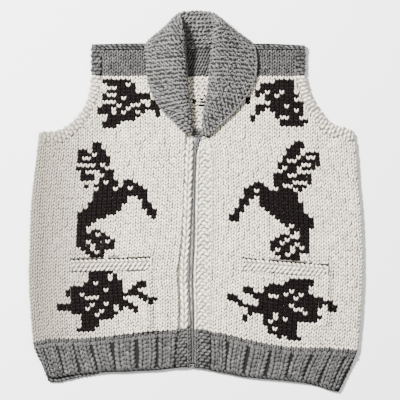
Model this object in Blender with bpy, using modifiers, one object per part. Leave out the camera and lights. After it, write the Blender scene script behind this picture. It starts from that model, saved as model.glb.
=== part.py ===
# Knitted zip vest with a shawl collar, laid flat on its back.
# Metres, +Z up, +Y towards the collar, origin at the centre of the footprint on the floor.

import math

import bmesh
import bpy
from mathutils import Vector

# Driving sizes
PLAN_UNIT = 0.00165          # metres for one unit of the plan tables
PLAN_CENTRE = (195.0, 200.5)  # plan point that lies over the origin, x to the right and y down
WALL = 0.0050                # thickness of the bulky knit
SEAM_GAP = 0.0003            # daylight between pieces that are sewn together
FRONT_Z = WALL + SEAM_GAP    # underside of the fronts, which lie on the back
EDGE_DROP = 0.0042           # how far a rolled edge falls
EDGE_WIDTH = 0.0065          # how wide the rolled edge is
THIN_EDGE = 0.0008           # what is left of the wall at a rolled edge's end
BAND_EXTRA = 0.0006          # garter bands are a little thicker than plain knit
FRONT_BAND_Z = 0.0064        # underside of the bands beside the zip, over the tape
FRONT_BAND_WALL = 0.0055
RIB_HEIGHT = 0.0013          # ribs raised over the hem's wall
HEM_WALL = 0.0043
LINING_WALL = 0.0030
POCKET_LIFT = 0.0036         # how far the fronts rise over the pocket linings
WELT_WALL = 0.0062
TAPE_WALL = 0.0008
TAPE_WIDTH = 8.0             # plan units
TEETH_Z = 0.0064
TEETH_WALL = 0.0017
TEETH_HALF = 1.05            # plan units
SHOULDER_HEIGHT = 2.0 * WALL + SEAM_GAP
RIDGE_EXTRA = 0.0019
SLIDER_SIZE = (0.0096, 0.0110, 0.0043)
SLIDER_AT = (195.8, 140.7)
PULL_SIZE = (0.0046, 0.0118, 0.0010)

# Columns across each piece, as parts of its width
SIDE_COLUMNS = [0.0, 0.007, 0.020, 0.045, 0.13, 0.24, 0.36, 0.48, 0.60, 0.72, 0.84, 0.93, 1.0]
BAND_COLUMNS = [0.0, 0.16, 0.5, 1.0]

# Outer side of the body, hem to underarm, plan x and y
LEFT_SIDE = [(32.5, 341.9), (30.8, 326), (30.0, 312), (28.9, 298), (28.1, 282), (28.4, 262), (29.0, 245),
             (29.3, 228), (30.0, 212), (31.0, 196), (32.8, 180), (34.0, 168), (35.8, 156), (37.3, 142.2)]
RIGHT_SIDE = [(357.0, 349.6), (358.2, 336), (359.5, 322), (360.5, 306), (361.3, 290), (361.8, 274), (361.8, 256),
              (361.4, 238), (360.7, 222), (359.6, 205), (358.0, 188), (356.6, 172), (355.7, 156), (354.2, 140.2)]

# Armhole band, underarm to the foot of the yoke: the body's edge and the free edge
LEFT_ARM_BODY = [(37.3, 142.2), (44, 141.8), (52, 142.0), (61.5, 141), (70, 136.5), (77.5, 129.5), (84.5, 121),
                 (90.5, 111.5), (95, 102), (98, 92.5), (99.5, 84), (100.3, 75.2)]
LEFT_ARM_FREE = [(38.2, 132.6), (42.5, 131.2), (50, 131.6), (58, 130.2), (63.8, 127.6), (70, 123), (76.3, 117),
                 (82.3, 109), (86.1, 102), (88.5, 94), (90.3, 84), (91.0, 75.2)]
RIGHT_ARM_BODY = [(354.2, 140.2), (348.5, 139.5), (342.5, 138.8), (335.5, 137.5), (328, 134.5), (321, 128.8),
                  (314.5, 121), (309, 112.3), (303.6, 103), (299.8, 93), (297, 84), (295.5, 75.2)]
RIGHT_ARM_FREE = [(353.2, 134), (351.2, 130.8), (347, 128.1), (340.5, 126.4), (334.5, 124.8), (329, 122),
                  (323.8, 117), (318.3, 109.3), (313.3, 102), (308.9, 94), (306.2, 84), (304, 75.2)]

# Edges of the bands beside the zip, hem to collar: the body's edge and the zip's edge
LEFT_BAND_BODY = [(178.5, 329.4), (178.9, 316), (179.2, 303), (179.0, 292), (177.6, 280.5), (177.8, 270),
                  (179.2, 260), (181.2, 246), (182.4, 232), (183.1, 218), (183.8, 204), (184.4, 190),
                  (184.9, 176), (185.3, 162), (185.8, 149), (186.0, 137)]
LEFT_BAND_ZIP = [(189.4, 326.4), (189.3, 314), (188.6, 302), (188.1, 291), (188.0, 281), (188.7, 271),
                 (188.5, 262), (188.9, 249), (189.4, 235), (189.8, 220), (190.2, 205), (190.6, 190),
                 (191.0, 176), (191.5, 162), (192.2, 149), (192.5, 136)]
RIGHT_BAND_ZIP = [(193.4, 328.7), (193.4, 316), (193.2, 304), (192.9, 293), (192.4, 279), (193.0, 265),
                  (193.7, 250), (194.0, 238), (194.2, 224), (194.4, 211), (194.6, 198), (194.8, 185),
                  (195.1, 172), (195.7, 160), (196.9, 151.5), (199.3, 140)]
RIGHT_BAND_BODY = [(210.1, 330.8), (210.4, 317), (210.7, 303), (211.0, 289), (211.6, 276), (212.2, 263),
                   (212.5, 250), (212.7, 237), (212.8, 224), (212.9, 211), (213.0, 198), (213.0, 185),
                   (213.0, 172), (212.8, 160), (211.9, 150), (209.4, 141)]

# Where the cream body meets the grey hem, side to band
LEFT_HEM_TOP = [(32.5, 341.9), (51, 338.4), (71, 338.2), (89, 337.6), (110, 335.8), (128, 333.4), (153, 330.4),
                (178.5, 329.4)]
RIGHT_HEM_TOP = [(210.1, 330.8), (222, 332.6), (243, 338.2), (266, 343.2), (289, 346.6), (310, 347.4),
                 (325, 347.0), (340, 348.0), (357.0, 349.6)]
BACK_HEM_TOP = [(32.5, 341.9), (80, 338), (140, 332.5), (195, 330), (250, 338), (310, 346), (357.0, 349.6)]

# Lower edge of the hem, side to band
LEFT_HEM_FOOT = [(48.0, 377.0), (56, 378.4), (64, 376.2), (76, 374.6), (88, 373.6), (106, 371.8), (124, 371.6),
                 (142, 370.4), (156, 370), (174.0, 367.6)]
RIGHT_HEM_FOOT = [(209.6, 369.4), (214, 371), (226, 373), (240, 376), (256, 378), (280, 380), (298, 382),
                  (311, 383.6), (322, 387), (329, 389.6), (336.6, 391.2)]
BACK_HEM_FOOT = [(47.2, 380.6), (52, 382.2), (58, 382), (66, 379.6), (80, 376.4), (100, 372.4), (130, 371),
                 (160, 369.6), (195, 366.2), (226, 372.6), (256, 377.8), (298, 381.8), (322, 387), (338.0, 391.8)]
LEFT_HEM_SIDE = [(48.0, 377.0), (45.6, 369), (41.6, 361.4), (36.6, 353), (32.5, 341.9)]
RIGHT_HEM_SIDE = [(336.6, 391.2), (342, 379.5), (348.4, 368.6), (352.6, 360.4), (357.0, 349.6)]
BACK_LEFT_HEM_SIDE = [(47.2, 380.6), (44.3, 370), (40.2, 362), (35.2, 353), (32.5, 341.9)]
BACK_RIGHT_HEM_SIDE = [(338.0, 391.8), (344.6, 378.5), (350.2, 368.4), (354.2, 359), (357.0, 349.6)]
LEFT_HEM_BAND_BODY = [(174.0, 367.6), (175.125, 358.05), (176.25, 348.5), (177.375, 338.95), (178.5, 329.4)]
RIGHT_HEM_BAND_BODY = [(209.6, 369.4), (209.725, 359.75), (209.85, 350.1), (209.975, 340.45), (210.1, 330.8)]
LEFT_HEM_BAND_ZIP = [(190.8, 366.3), (190.8, 357), (190.6, 347), (190.2, 336.5), (189.4, 326.4)]
RIGHT_HEM_BAND_ZIP = [(193.7, 366.4), (193.7, 357), (193.6, 347.5), (193.5, 338), (193.4, 328.7)]

# Rib grooves across each hem, as parts of its width from the left
LEFT_GROOVES = [0.0, 0.045, 0.146, 0.265, 0.395, 0.539, 0.713, 0.859, 1.0]
RIGHT_GROOVES = [0.0, 0.125, 0.270, 0.430, 0.585, 0.718, 0.844, 0.947, 1.0]
BACK_GROOVES = [k / 17.0 for k in range(18)]

# Middle line of the zip, collar to hem
ZIP_LINE = [(195.6, 142.6), (195.5, 147.5), (195.2, 151.5), (194.4, 159), (193.8, 172), (193.5, 185), (193.3, 198),
            (193.1, 211), (192.9, 224), (192.7, 238), (192.4, 250), (191.7, 265), (191.1, 279), (191.6, 293),
            (191.9, 304), (192.1, 316), (192.1, 328), (192.2, 345), (192.2, 362.6)]

# Pockets: centre, width and tilt in degrees of the slit and welt, then the lining's plan box
LEFT_POCKET = {"welt": (110.6, 264.8, 81.0, 11.0), "slit": 2.0, "tilt": 1.4, "lining": (67, 255, 154, 323)}
RIGHT_POCKET = {"welt": (284.6, 267.8, 86.0, 11.0), "slit": 2.0, "tilt": -4.6, "lining": (240, 256, 328, 327)}
POCKET_FADE = 15.0

# Collar stations from the left wing's tip up to the middle of the back neck.
# Seam, stand, turn in, roll, turn out, fall and free edge: plan x, plan y, height in millimetres.
# The last three numbers place the right wing: mirror line of the stand, of the fall, and its drop.
COLLAR = [
    ((186.4, 133.2, 7.8), (187.8, 132.9, 7.8), (189.6, 132.4, 7.9), (191.9, 131.6, 10.5), (190.0, 132.4, 13.1),
     (188.2, 133.2, 13.2), (186.2, 134.0, 13.2), 197.0, 197.3, 2.6),
    ((184.3, 122.8, 7.8), (186.2, 121.6, 7.8), (188.3, 120.2, 8.0), (191.3, 118.0, 11.9), (187.9, 119.6, 15.7),
     (182.5, 122.2, 14.8), (177.0, 125.0, 13.2), 196.6, 197.3, 1.5),
    ((178.0, 106.0, 7.8), (181.2, 104.8, 7.8), (184.7, 103.4, 8.3), (189.1, 101.6, 14.0), (183.6, 102.6, 19.6),
     (172.0, 105.2, 16.6), (160.5, 108.5, 13.2), 197.0, 198.4, 0.5),
    ((172.0, 90.0, 7.8), (176.7, 89.4, 7.8), (181.7, 88.7, 8.5), (187.3, 87.7, 15.1), (181.0, 87.6, 21.7),
     (166.0, 89.2, 17.6), (150.3, 91.5, 13.2), 197.5, 200.0, 0.0),
    ((167.0, 75.2, 7.8), (173.2, 74.7, 7.8), (179.7, 74.2, 9.0), (186.3, 73.5, 16.7), (179.0, 73.0, 24.2),
     (163.0, 74.0, 18.5), (146.0, 76.0, 13.2), 197.6, 201.0, 0.0),
    ((163.0, 60.0, 7.8), (170.7, 59.4, 8.3), (178.6, 58.9, 11.0), (185.3, 58.4, 20.2), (177.8, 57.8, 28.4),
     (161.0, 58.8, 20.0), (145.0, 60.5, 13.2), 197.8, 201.0, 0.0),
    ((160.3, 51.0, 7.8), (168.7, 49.2, 10.8), (177.2, 47.4, 16.5), (184.2, 45.4, 26.2), (176.0, 44.0, 33.4),
     (158.5, 45.5, 21.5), (144.0, 48.5, 13.3), 198.0, 199.6, 0.0),
    ((159.4, 47.6, 7.8), (167.0, 43.6, 14.8), (175.9, 39.0, 22.9), (182.8, 34.5, 31.5), (174.5, 30.0, 34.3),
     (158.8, 33.8, 19.5), (147.0, 41.0, 9.8), 197.8, 198.0, 0.0),
    ((160.6, 45.6, 6.0), (166.6, 38.8, 15.5), (174.8, 30.0, 25.2), (181.2, 23.0, 30.5), (174.4, 18.8, 28.0),
     (164.2, 27.6, 11.0), (153.8, 38.6, 3.4), 196.5, 196.4, 0.0),
    ((166.0, 46.4, 3.6), (170.0, 38.0, 11.5), (177.4, 22.0, 21.0), (180.8, 13.8, 19.4), (177.2, 14.8, 8.2),
     (171.8, 24.5, 3.4), (162.0, 38.8, 2.7), 195.7, 195.7, 0.0),
    ((179.0, 47.0, 2.8), (181.0, 38.2, 9.9), (186.3, 17.8, 17.8), (187.8, 11.2, 11.6), (186.6, 16.0, 3.7),
     (183.5, 27.5, 2.7), (177.0, 39.0, 2.6), 195.4, 195.4, 0.0),
    ((195.4, 47.2, 2.8), (195.4, 37.6, 9.6), (195.4, 17.2, 15.7), (195.4, 10.9, 9.6), (195.4, 16.6, 3.2),
     (195.4, 28.0, 2.7), (195.4, 39.0, 2.6), 195.4, 195.4, 0.0),
]
COLLAR_STEP = 0.5            # rings between stations
COLLAR_STRIPS = 11           # strips from seam to free edge
COLLAR_TIP_WALL = 0.0040
YOKE_END = 6.5               # station where the shoulder seam meets the collar
YOKE_FOOT = 4.0              # station at the foot of the yoke

# Neck edge of the back yoke, left to right
BACK_NECK = [(157.4, 47.4), (162, 47.6), (176, 47.8), (195.4, 47.9), (215, 47.8), (231, 47.7), (237.6, 47.4)]

# Colours and finishes: base colour, roughness, metallic
FINISHES = {
    "cream_wool": ((0.62, 0.59, 0.53, 1.0), 0.95, 0.0),
    "grey_wool": ((0.22, 0.22, 0.22, 1.0), 0.95, 0.0),
    "zip_tape": ((0.20, 0.21, 0.21, 1.0), 0.85, 0.0),
    "zip_teeth": ((0.10, 0.10, 0.10, 1.0), 0.40, 0.0),
    "zip_metal": ((0.70, 0.70, 0.71, 1.0), 0.25, 1.0),
}


def plan(point):
    """World x and y of a plan point."""
    return Vector(((point[0] - PLAN_CENTRE[0]) * PLAN_UNIT, (PLAN_CENTRE[1] - point[1]) * PLAN_UNIT))


def smooth_step(value):
    t = min(max(value, 0.0), 1.0)
    return t * t * (3.0 - 2.0 * t)


def curve_at(points, t):
    """Point at parameter t of a smooth curve through the points, one unit of t per span."""
    last = len(points) - 1
    k = min(int(t), last - 1)
    f = t - k
    p1 = Vector(points[k])
    p2 = Vector(points[k + 1])
    p0 = Vector(points[k - 1]) if k > 0 else p1 * 2.0 - p2
    p3 = Vector(points[k + 2]) if k + 2 <= last else p2 * 2.0 - p1
    a = p1 * 2.0
    b = p2 - p0
    c = p0 * 2.0 - p1 * 5.0 + p2 * 4.0 - p3
    d = p3 - p0 + (p1 - p2) * 3.0
    return (a + b * f + c * (f * f) + d * (f * f * f)) * 0.5


def along(points, fraction):
    """Point at a fraction of the length of a broken line."""
    lengths = [(Vector(points[k + 1]) - Vector(points[k])).length for k in range(len(points) - 1)]
    left = fraction * sum(lengths)
    for k, length in enumerate(lengths):
        if left <= length or k == len(lengths) - 1:
            return Vector(points[k]).lerp(Vector(points[k + 1]), min(left / length, 1.0))
        left -= length


def spread(points, fractions):
    """Points at given fractions of the length of a smooth curve."""
    fine = [curve_at(points, k / 8.0) for k in range(8 * (len(points) - 1) + 1)]
    return [along(fine, f) for f in fractions]


def inset_loop(loop, distance):
    """Move each side of a counter-clockwise loop inwards, corners mitred."""
    result = []
    count = len(loop)
    for k in range(count):
        before = (loop[k] - loop[k - 1]).normalized()
        after = (loop[(k + 1) % count] - loop[k]).normalized()
        n1 = Vector((-before.y, before.x))
        n2 = Vector((-after.y, after.x))
        middle = n1 + n2
        result.append(loop[k] + middle * (distance / max(1.0 + n1.dot(n2), 0.4)))
    return result


def gap_to(point, line):
    """Distance from a point to a broken line."""
    best = 1.0
    for k in range(len(line) - 1):
        side = line[k + 1] - line[k]
        t = min(max((point - line[k]).dot(side) / max(side.length_squared, 1e-12), 0.0), 1.0)
        best = min(best, (point - line[k] - side * t).length)
    return best


def edge_fall(distance, drop=EDGE_DROP, width=EDGE_WIDTH):
    """How far a rolled edge has fallen at a distance from its end."""
    if distance >= width:
        return 0.0
    t = 1.0 - distance / width
    return drop * (1.0 - math.sqrt(max(1.0 - t * t, 0.0)))


def finish_of(name):
    material = bpy.data.materials.get(name)
    if material is None:
        colour, roughness, metallic = FINISHES[name]
        material = bpy.data.materials.new(name)
        material.use_nodes = True
        shader = material.node_tree.nodes["Principled BSDF"]
        shader.inputs["Base Color"].default_value = colour
        shader.inputs["Roughness"].default_value = roughness
        shader.inputs["Metallic"].default_value = metallic
        material.diffuse_color = colour
    return material


def link_mesh(name, bm, finish, smooth=True):
    mesh = bpy.data.meshes.new(name)
    bmesh.ops.recalc_face_normals(bm, faces=bm.faces)
    bm.to_mesh(mesh)
    bm.free()
    for face in mesh.polygons:
        face.use_smooth = smooth
    piece = bpy.data.objects.new(name, mesh)
    vest.objects.link(piece)
    mesh.materials.append(finish_of(finish))
    return piece


def wall_between(name, upper, lower, finish):
    """Closed wall between two grids of points with the same rows and columns."""
    bm = bmesh.new()
    rows = len(upper)
    columns = len(upper[0])
    tops = [[bm.verts.new(p) for p in row] for row in upper]
    feet = [[bm.verts.new(p) for p in row] for row in lower]
    for j in range(rows - 1):
        for i in range(columns - 1):
            bm.faces.new((tops[j][i], tops[j][i + 1], tops[j + 1][i + 1], tops[j + 1][i]))
            bm.faces.new((feet[j][i], feet[j + 1][i], feet[j + 1][i + 1], feet[j][i + 1]))
    for i in range(columns - 1):
        bm.faces.new((tops[0][i], feet[0][i], feet[0][i + 1], tops[0][i + 1]))
        bm.faces.new((tops[-1][i], tops[-1][i + 1], feet[-1][i + 1], feet[-1][i]))
    for j in range(rows - 1):
        bm.faces.new((tops[j][0], tops[j + 1][0], feet[j + 1][0], feet[j][0]))
        bm.faces.new((tops[j][-1], feet[j][-1], feet[j + 1][-1], tops[j + 1][-1]))
    return link_mesh(name, bm, finish)


def cloth_piece(name, finish, foot, right, head, left, across, up, low, high, rolled, under=False):
    """Wall over a four-sided plan: foot and head run left to right, left and right run up.

    low and high give heights at (x, y, u, v). rolled lists the open sides: name, first and last point.
    The rolled edge falls on the upper face, or rises on the lower face when under is set.
    """
    columns = len(foot)
    rows = len(left)
    loop = [plan(p) for p in foot[:-1]] + [plan(p) for p in right[:-1]]
    loop += [plan(p) for p in reversed(head[1:])] + [plan(p) for p in reversed(left[1:])]
    loop = inset_loop(loop, SEAM_GAP * 0.5)
    b = loop[:columns]
    r = loop[columns - 1:columns + rows - 1]
    t = list(reversed(loop[columns + rows - 2:2 * columns + rows - 2]))
    le = [loop[0]] + list(reversed(loop[2 * columns + rows - 3:]))
    sides = {"foot": b, "right": r, "head": t, "left": le}
    open_lines = [sides[side][first:last + 1] for side, first, last in rolled]
    upper = []
    lower = []
    for j in range(rows):
        v = up[j]
        top_row = []
        foot_row = []
        for i in range(columns):
            u = across[i]
            p = b[i] * (1.0 - v) + t[i] * v
            p += (le[j] - le[0] * (1.0 - v) - le[-1] * v) * (1.0 - u)
            p += (r[j] - r[0] * (1.0 - v) - r[-1] * v) * u
            fall = max([edge_fall(gap_to(p, line)) for line in open_lines] + [0.0])
            z_low = low(p.x, p.y, u, v)
            z_high = high(p.x, p.y, u, v)
            if under:
                z_low = min(z_low + fall, z_high - THIN_EDGE)
            else:
                z_high = max(z_high - fall, z_low + THIN_EDGE)
            top_row.append(Vector((p.x, p.y, z_high)))
            foot_row.append(Vector((p.x, p.y, z_low)))
        upper.append(top_row)
        lower.append(foot_row)
    return wall_between(name, upper, lower, finish)


def even(count):
    return [k / (count - 1.0) for k in range(count)]


def flat(height):
    return lambda x, y, u, v: height


def mirror_list(values):
    return [1.0 - value for value in reversed(values)]


# Collar rails
def station(index, right_wing):
    row = COLLAR[index]
    stand_line, fall_line, drop = row[7], row[8], row[9]
    points = []
    for k in range(7):
        x, y, z = row[k]
        if right_wing:
            line = stand_line if k < 4 else (stand_line + fall_line) * 0.5 if k == 4 else fall_line
            x = 2.0 * line - x
            y = y + drop
        points.append((x, y, z))
    return points


half = len(COLLAR) - 1
all_stations = [station(k, False) for k in range(half + 1)] + [station(k, True) for k in range(half - 1, -1, -1)]


def rail(k, s):
    """Point of rail k at station s, plan x, plan y and millimetres."""
    return curve_at([row[k] for row in all_stations], s)


def neck_line(first, last, right_wing=False):
    """Plan points of the collar's seam between two stations."""
    count = int(round((last - first) / COLLAR_STEP))
    result = []
    for k in range(count + 1):
        s = first + k * COLLAR_STEP
        p = rail(0, 2 * half - s if right_wing else s)
        result.append((p.x, p.y))
    return result


def pocket_lift(x, y):
    """How far the fronts rise over the pocket linings."""
    px = x / PLAN_UNIT + PLAN_CENTRE[0]
    py = PLAN_CENTRE[1] - y / PLAN_UNIT
    lift = 0.0
    for pocket in (LEFT_POCKET, RIGHT_POCKET):
        x0, y0, x1, y1 = pocket["lining"]
        out_x = max(x0 - 6.0 - px, px - x1 - 6.0, 0.0)
        out_y = max(y0 - 8.0 - py, py - y1 - 5.0, 0.0)
        lift = max(lift, 1.0 - smooth_step(math.hypot(out_x, out_y) / POCKET_FADE))
    return POCKET_LIFT * lift


def front_low(x, y, u, v):
    return FRONT_Z + pocket_lift(x, y)


def front_high(x, y, u, v):
    return FRONT_Z + WALL + pocket_lift(x, y)


def arm_line(points):
    """Armhole seam with two more points close to the side, where the edge is rolled."""
    first = Vector(points[0])
    second = Vector(points[1])
    return [first, first.lerp(second, 0.2), first.lerp(second, 0.6)] + [Vector(p) for p in points[1:]]


def head_line(arm, end, count):
    """Top edge of a body piece: along the armhole, then straight to the end point."""
    corner = arm[-1]
    return arm + [corner.lerp(Vector(end), k / float(count)) for k in range(1, count + 1)]


def shares(line):
    """How far each point of a line lies across its width."""
    width = line[-1].x - line[0].x
    return [(p.x - line[0].x) / width for p in line]


def body_head(side):
    """Top edge of a body piece, left to right, and how far each point lies across."""
    if side == "back":
        head = head_line(arm_line(LEFT_ARM_BODY), RIGHT_ARM_BODY[-1], 6)
        head += list(reversed(arm_line(RIGHT_ARM_BODY)))[1:]
    elif side == "left":
        head = head_line(arm_line(LEFT_ARM_BODY), neck_line(0.0, YOKE_FOOT)[-1], 5)
    else:
        head = head_line(arm_line(RIGHT_ARM_BODY), neck_line(0.0, YOKE_FOOT, True)[-1], 5)
        head = list(reversed(head))
    return head, shares(head)


def build_fronts():
    inner = LEFT_BAND_BODY + neck_line(0.0, YOKE_FOOT)
    up = even(len(inner))
    head, across = body_head("left")
    left = cloth_piece("front_left", "cream_wool", spread(LEFT_HEM_TOP, across), inner, head,
                       spread(LEFT_SIDE, up), across, up, front_low, front_high, [("left", 0, len(up) - 1)])
    inner = RIGHT_BAND_BODY + neck_line(0.0, YOKE_FOOT, True)
    head, across = body_head("right")
    right = cloth_piece("front_right", "cream_wool", spread(RIGHT_HEM_TOP, across), spread(RIGHT_SIDE, up), head,
                        inner, across, up, front_low, front_high, [("right", 0, len(up) - 1)])
    return left, right


def build_back():
    up = even(11)
    head, across = body_head("back")
    cloth_piece("back", "cream_wool", spread(BACK_HEM_TOP, across), spread(RIGHT_SIDE, up), head,
                spread(LEFT_SIDE, up), across, up, flat(0.0), flat(WALL),
                [("left", 0, 10), ("right", 0, 10)], True)


def build_yokes():
    count = int(round((YOKE_END - YOKE_FOOT) / COLLAR_STEP)) + 1
    for side, outer_x, foot_x, wing in (("left", 100.3, 100.3, False), ("right", 295.8, 295.5, True)):
        inner = neck_line(YOKE_FOOT, YOKE_END, wing)
        outer = [Vector((foot_x, 75.2)).lerp(Vector((outer_x, 49.3)), k / (count - 1.0)) for k in range(count)]
        if wing:
            across = mirror_list(SIDE_COLUMNS)
            left, right = inner, outer
        else:
            across = SIDE_COLUMNS
            left, right = outer, inner
        foot = [Vector(left[0]).lerp(Vector(right[0]), f) for f in across]
        head = [Vector(left[-1]).lerp(Vector(right[-1]), f) for f in across]
        cloth_piece("yoke_" + side, "grey_wool", foot, right, head, left, across, even(count),
                    flat(FRONT_Z), flat(FRONT_Z + WALL), [])
    body = cloth_piece("back_yoke", "grey_wool",
                       [Vector((100.3, 75.2)).lerp(Vector((295.5, 75.2)), f) for f in even(9)],
                       [(295.5, 75.2), (295.6, 66), (295.7, 57), (295.8, 47.4)],
                       [(100.3, 47.4)] + BACK_NECK + [(295.8, 47.4)],
                       [(100.3, 75.2), (100.3, 66), (100.3, 57), (100.3, 47.4)],
                       even(9), even(4), flat(0.0), flat(WALL), [])
    folds = []
    for name, x0, x1, y0, y1 in (("left", 91.2, 157.2, 43.6, 42.6), ("right", 238.2, 304.4, 42.8, 44.6)):
        folds.append(shoulder_fold("fold_" + name, x0, x1, y0, y1))
    for fold in folds:
        join = body.modifiers.new("join_" + fold.name, "BOOLEAN")
        join.operation = "UNION"
        join.solver = "EXACT"
        join.object = fold
    for side, x0, x1, low_x, high_x in (("left", 91.4, 158.6, 139.0, 142.6), ("right", 236.6, 304.2, 252.6, 256.2)):
        ends = (x0, x1)
        fractions = [0.0, 0.02, 0.25, 0.5, 0.7, 0.76, 0.98, 1.0]
        if side == "right":
            fractions = mirror_list(fractions)
        foot_y = (49.1, 48.6) if side == "left" else (48.6, 49.1)
        foot = [Vector((ends[0], foot_y[0])).lerp(Vector((ends[1], foot_y[1])), f) for f in fractions]
        head = [Vector((ends[0], 47.1)).lerp(Vector((ends[1], 47.1)), f) for f in fractions]

        def ridge_high(x, y, u, v, low_x=low_x, high_x=high_x, side=side):
            px = x / PLAN_UNIT + PLAN_CENTRE[0]
            cover = smooth_step((px - low_x) / (high_x - low_x))
            if side == "right":
                cover = 1.0 - cover
            crown = 1.0 - (2.0 * v - 1.0) ** 2
            rise = RIDGE_EXTRA * crown * (1.0 - cover)
            return FRONT_Z + WALL - 0.0002 + rise

        rise_rows = [0.0, 0.25, 0.5, 0.75, 1.0]
        left = [Vector((ends[0], foot_y[0])).lerp(Vector((ends[0], 47.1)), f) for f in rise_rows]
        right = [Vector((ends[1], foot_y[1])).lerp(Vector((ends[1], 47.1)), f) for f in rise_rows]
        cloth_piece("shoulder_seam_" + side, "grey_wool", foot, right, head, left, fractions, rise_rows,
                    flat(FRONT_Z), ridge_high, [])


def shoulder_fold(name, x0, x1, y0, y1):
    """Cloth of the back yoke turned over the shoulder, as a rounded bar used to join on."""
    bm = bmesh.new()
    rings = []
    for x, y_top in ((x0, y0), ((x0 + x1) * 0.5, min(y0, y1) + 0.1), (x1, y1)):
        top = plan((x, y_top))
        foot = plan((x, 46.95))
        depth = top.y - foot.y
        height = SHOULDER_HEIGHT
        outline = [(0.0, 0.0), (0.62, 0.0), (0.88, 0.10), (1.0, 0.5), (0.88, 0.90), (0.62, 1.0), (0.0, 1.0)]
        ring = [bm.verts.new((foot.x, foot.y + a * depth, h * height)) for a, h in outline]
        ring.append(bm.verts.new((foot.x, foot.y, WALL)))
        tuck = plan((x, 47.8)).y
        ring.append(bm.verts.new((foot.x, tuck, WALL - 0.0004)))
        ring.append(bm.verts.new((foot.x, tuck, 0.0004)))
        ring.append(bm.verts.new((foot.x, foot.y - 0.0003, 0.0004)))
        rings.append(ring)
    for a, b in zip(rings, rings[1:]):
        for k in range(len(a)):
            n = (k + 1) % len(a)
            bm.faces.new((a[k], a[n], b[n], b[k]))
    bm.faces.new(rings[0])
    bm.faces.new(list(reversed(rings[-1])))
    fold = link_mesh(name, bm, "grey_wool")
    vest.objects.unlink(fold)
    cutters.objects.link(fold)
    fold.hide_render = True
    fold.display_type = "WIRE"
    return fold


def build_armbands():
    layers = (("front", FRONT_Z, FRONT_Z + WALL + BAND_EXTRA, False, 49.3), ("back", 0.0, WALL, True, 48.0))
    for layer, low, high, under, head_y in layers:
        for side, free, body, top_free, top_body in (
                ("left", LEFT_ARM_FREE, LEFT_ARM_BODY, 91.1, 100.3),
                ("right", RIGHT_ARM_FREE, RIGHT_ARM_BODY, 304.5, 295.8)):
            rows = len(free)
            if side == "left":
                left, right, across, open_side = free, body, BAND_COLUMNS, "left"
            else:
                left, right, across, open_side = body, free, mirror_list(BAND_COLUMNS), "right"
            foot = [Vector(left[0]).lerp(Vector(right[0]), f) for f in across]
            head = [Vector(left[-1]).lerp(Vector(right[-1]), f) for f in across]
            cloth_piece("armband_%s_%s" % (layer, side), "cream_wool", foot, right, head, left, across,
                        even(rows), flat(low), flat(high),
                        [(open_side, 0, rows - 1), ("foot", 0, len(across) - 1)], under)
            free_line = [Vector(free[-1]).lerp(Vector((top_free, head_y)), f) for f in even(3)]
            body_line = [Vector(body[-1]).lerp(Vector((top_body, head_y)), f) for f in even(3)]
            if side == "left":
                left, right = free_line, body_line
            else:
                left, right = body_line, free_line
            foot = [Vector(left[0]).lerp(Vector(right[0]), f) for f in across]
            head = [Vector(left[-1]).lerp(Vector(right[-1]), f) for f in across]
            cloth_piece("armband_%s_%s_grey" % (layer, side), "grey_wool", foot, right, head, left, across,
                        even(3), flat(low), flat(high), [(open_side, 0, 2)], under)


def rib_columns(grooves):
    """Columns and rib heights: each rib has two crests with a shallow dip between."""
    columns = []
    heights = []
    for a, b in zip(grooves, grooves[1:]):
        for t, h in ((0.0, 0.0), (0.16, 1.0), (0.52, 0.55), (0.84, 1.0)):
            columns.append(a + (b - a) * t)
            heights.append(h)
    columns.append(1.0)
    heights.append(0.0)
    return columns, heights


def rib_at(u, columns, heights):
    for k in range(len(columns) - 1):
        if u <= columns[k + 1]:
            t = (u - columns[k]) / max(columns[k + 1] - columns[k], 1e-9)
            return heights[k] + (heights[k + 1] - heights[k]) * t
    return heights[-1]


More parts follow.
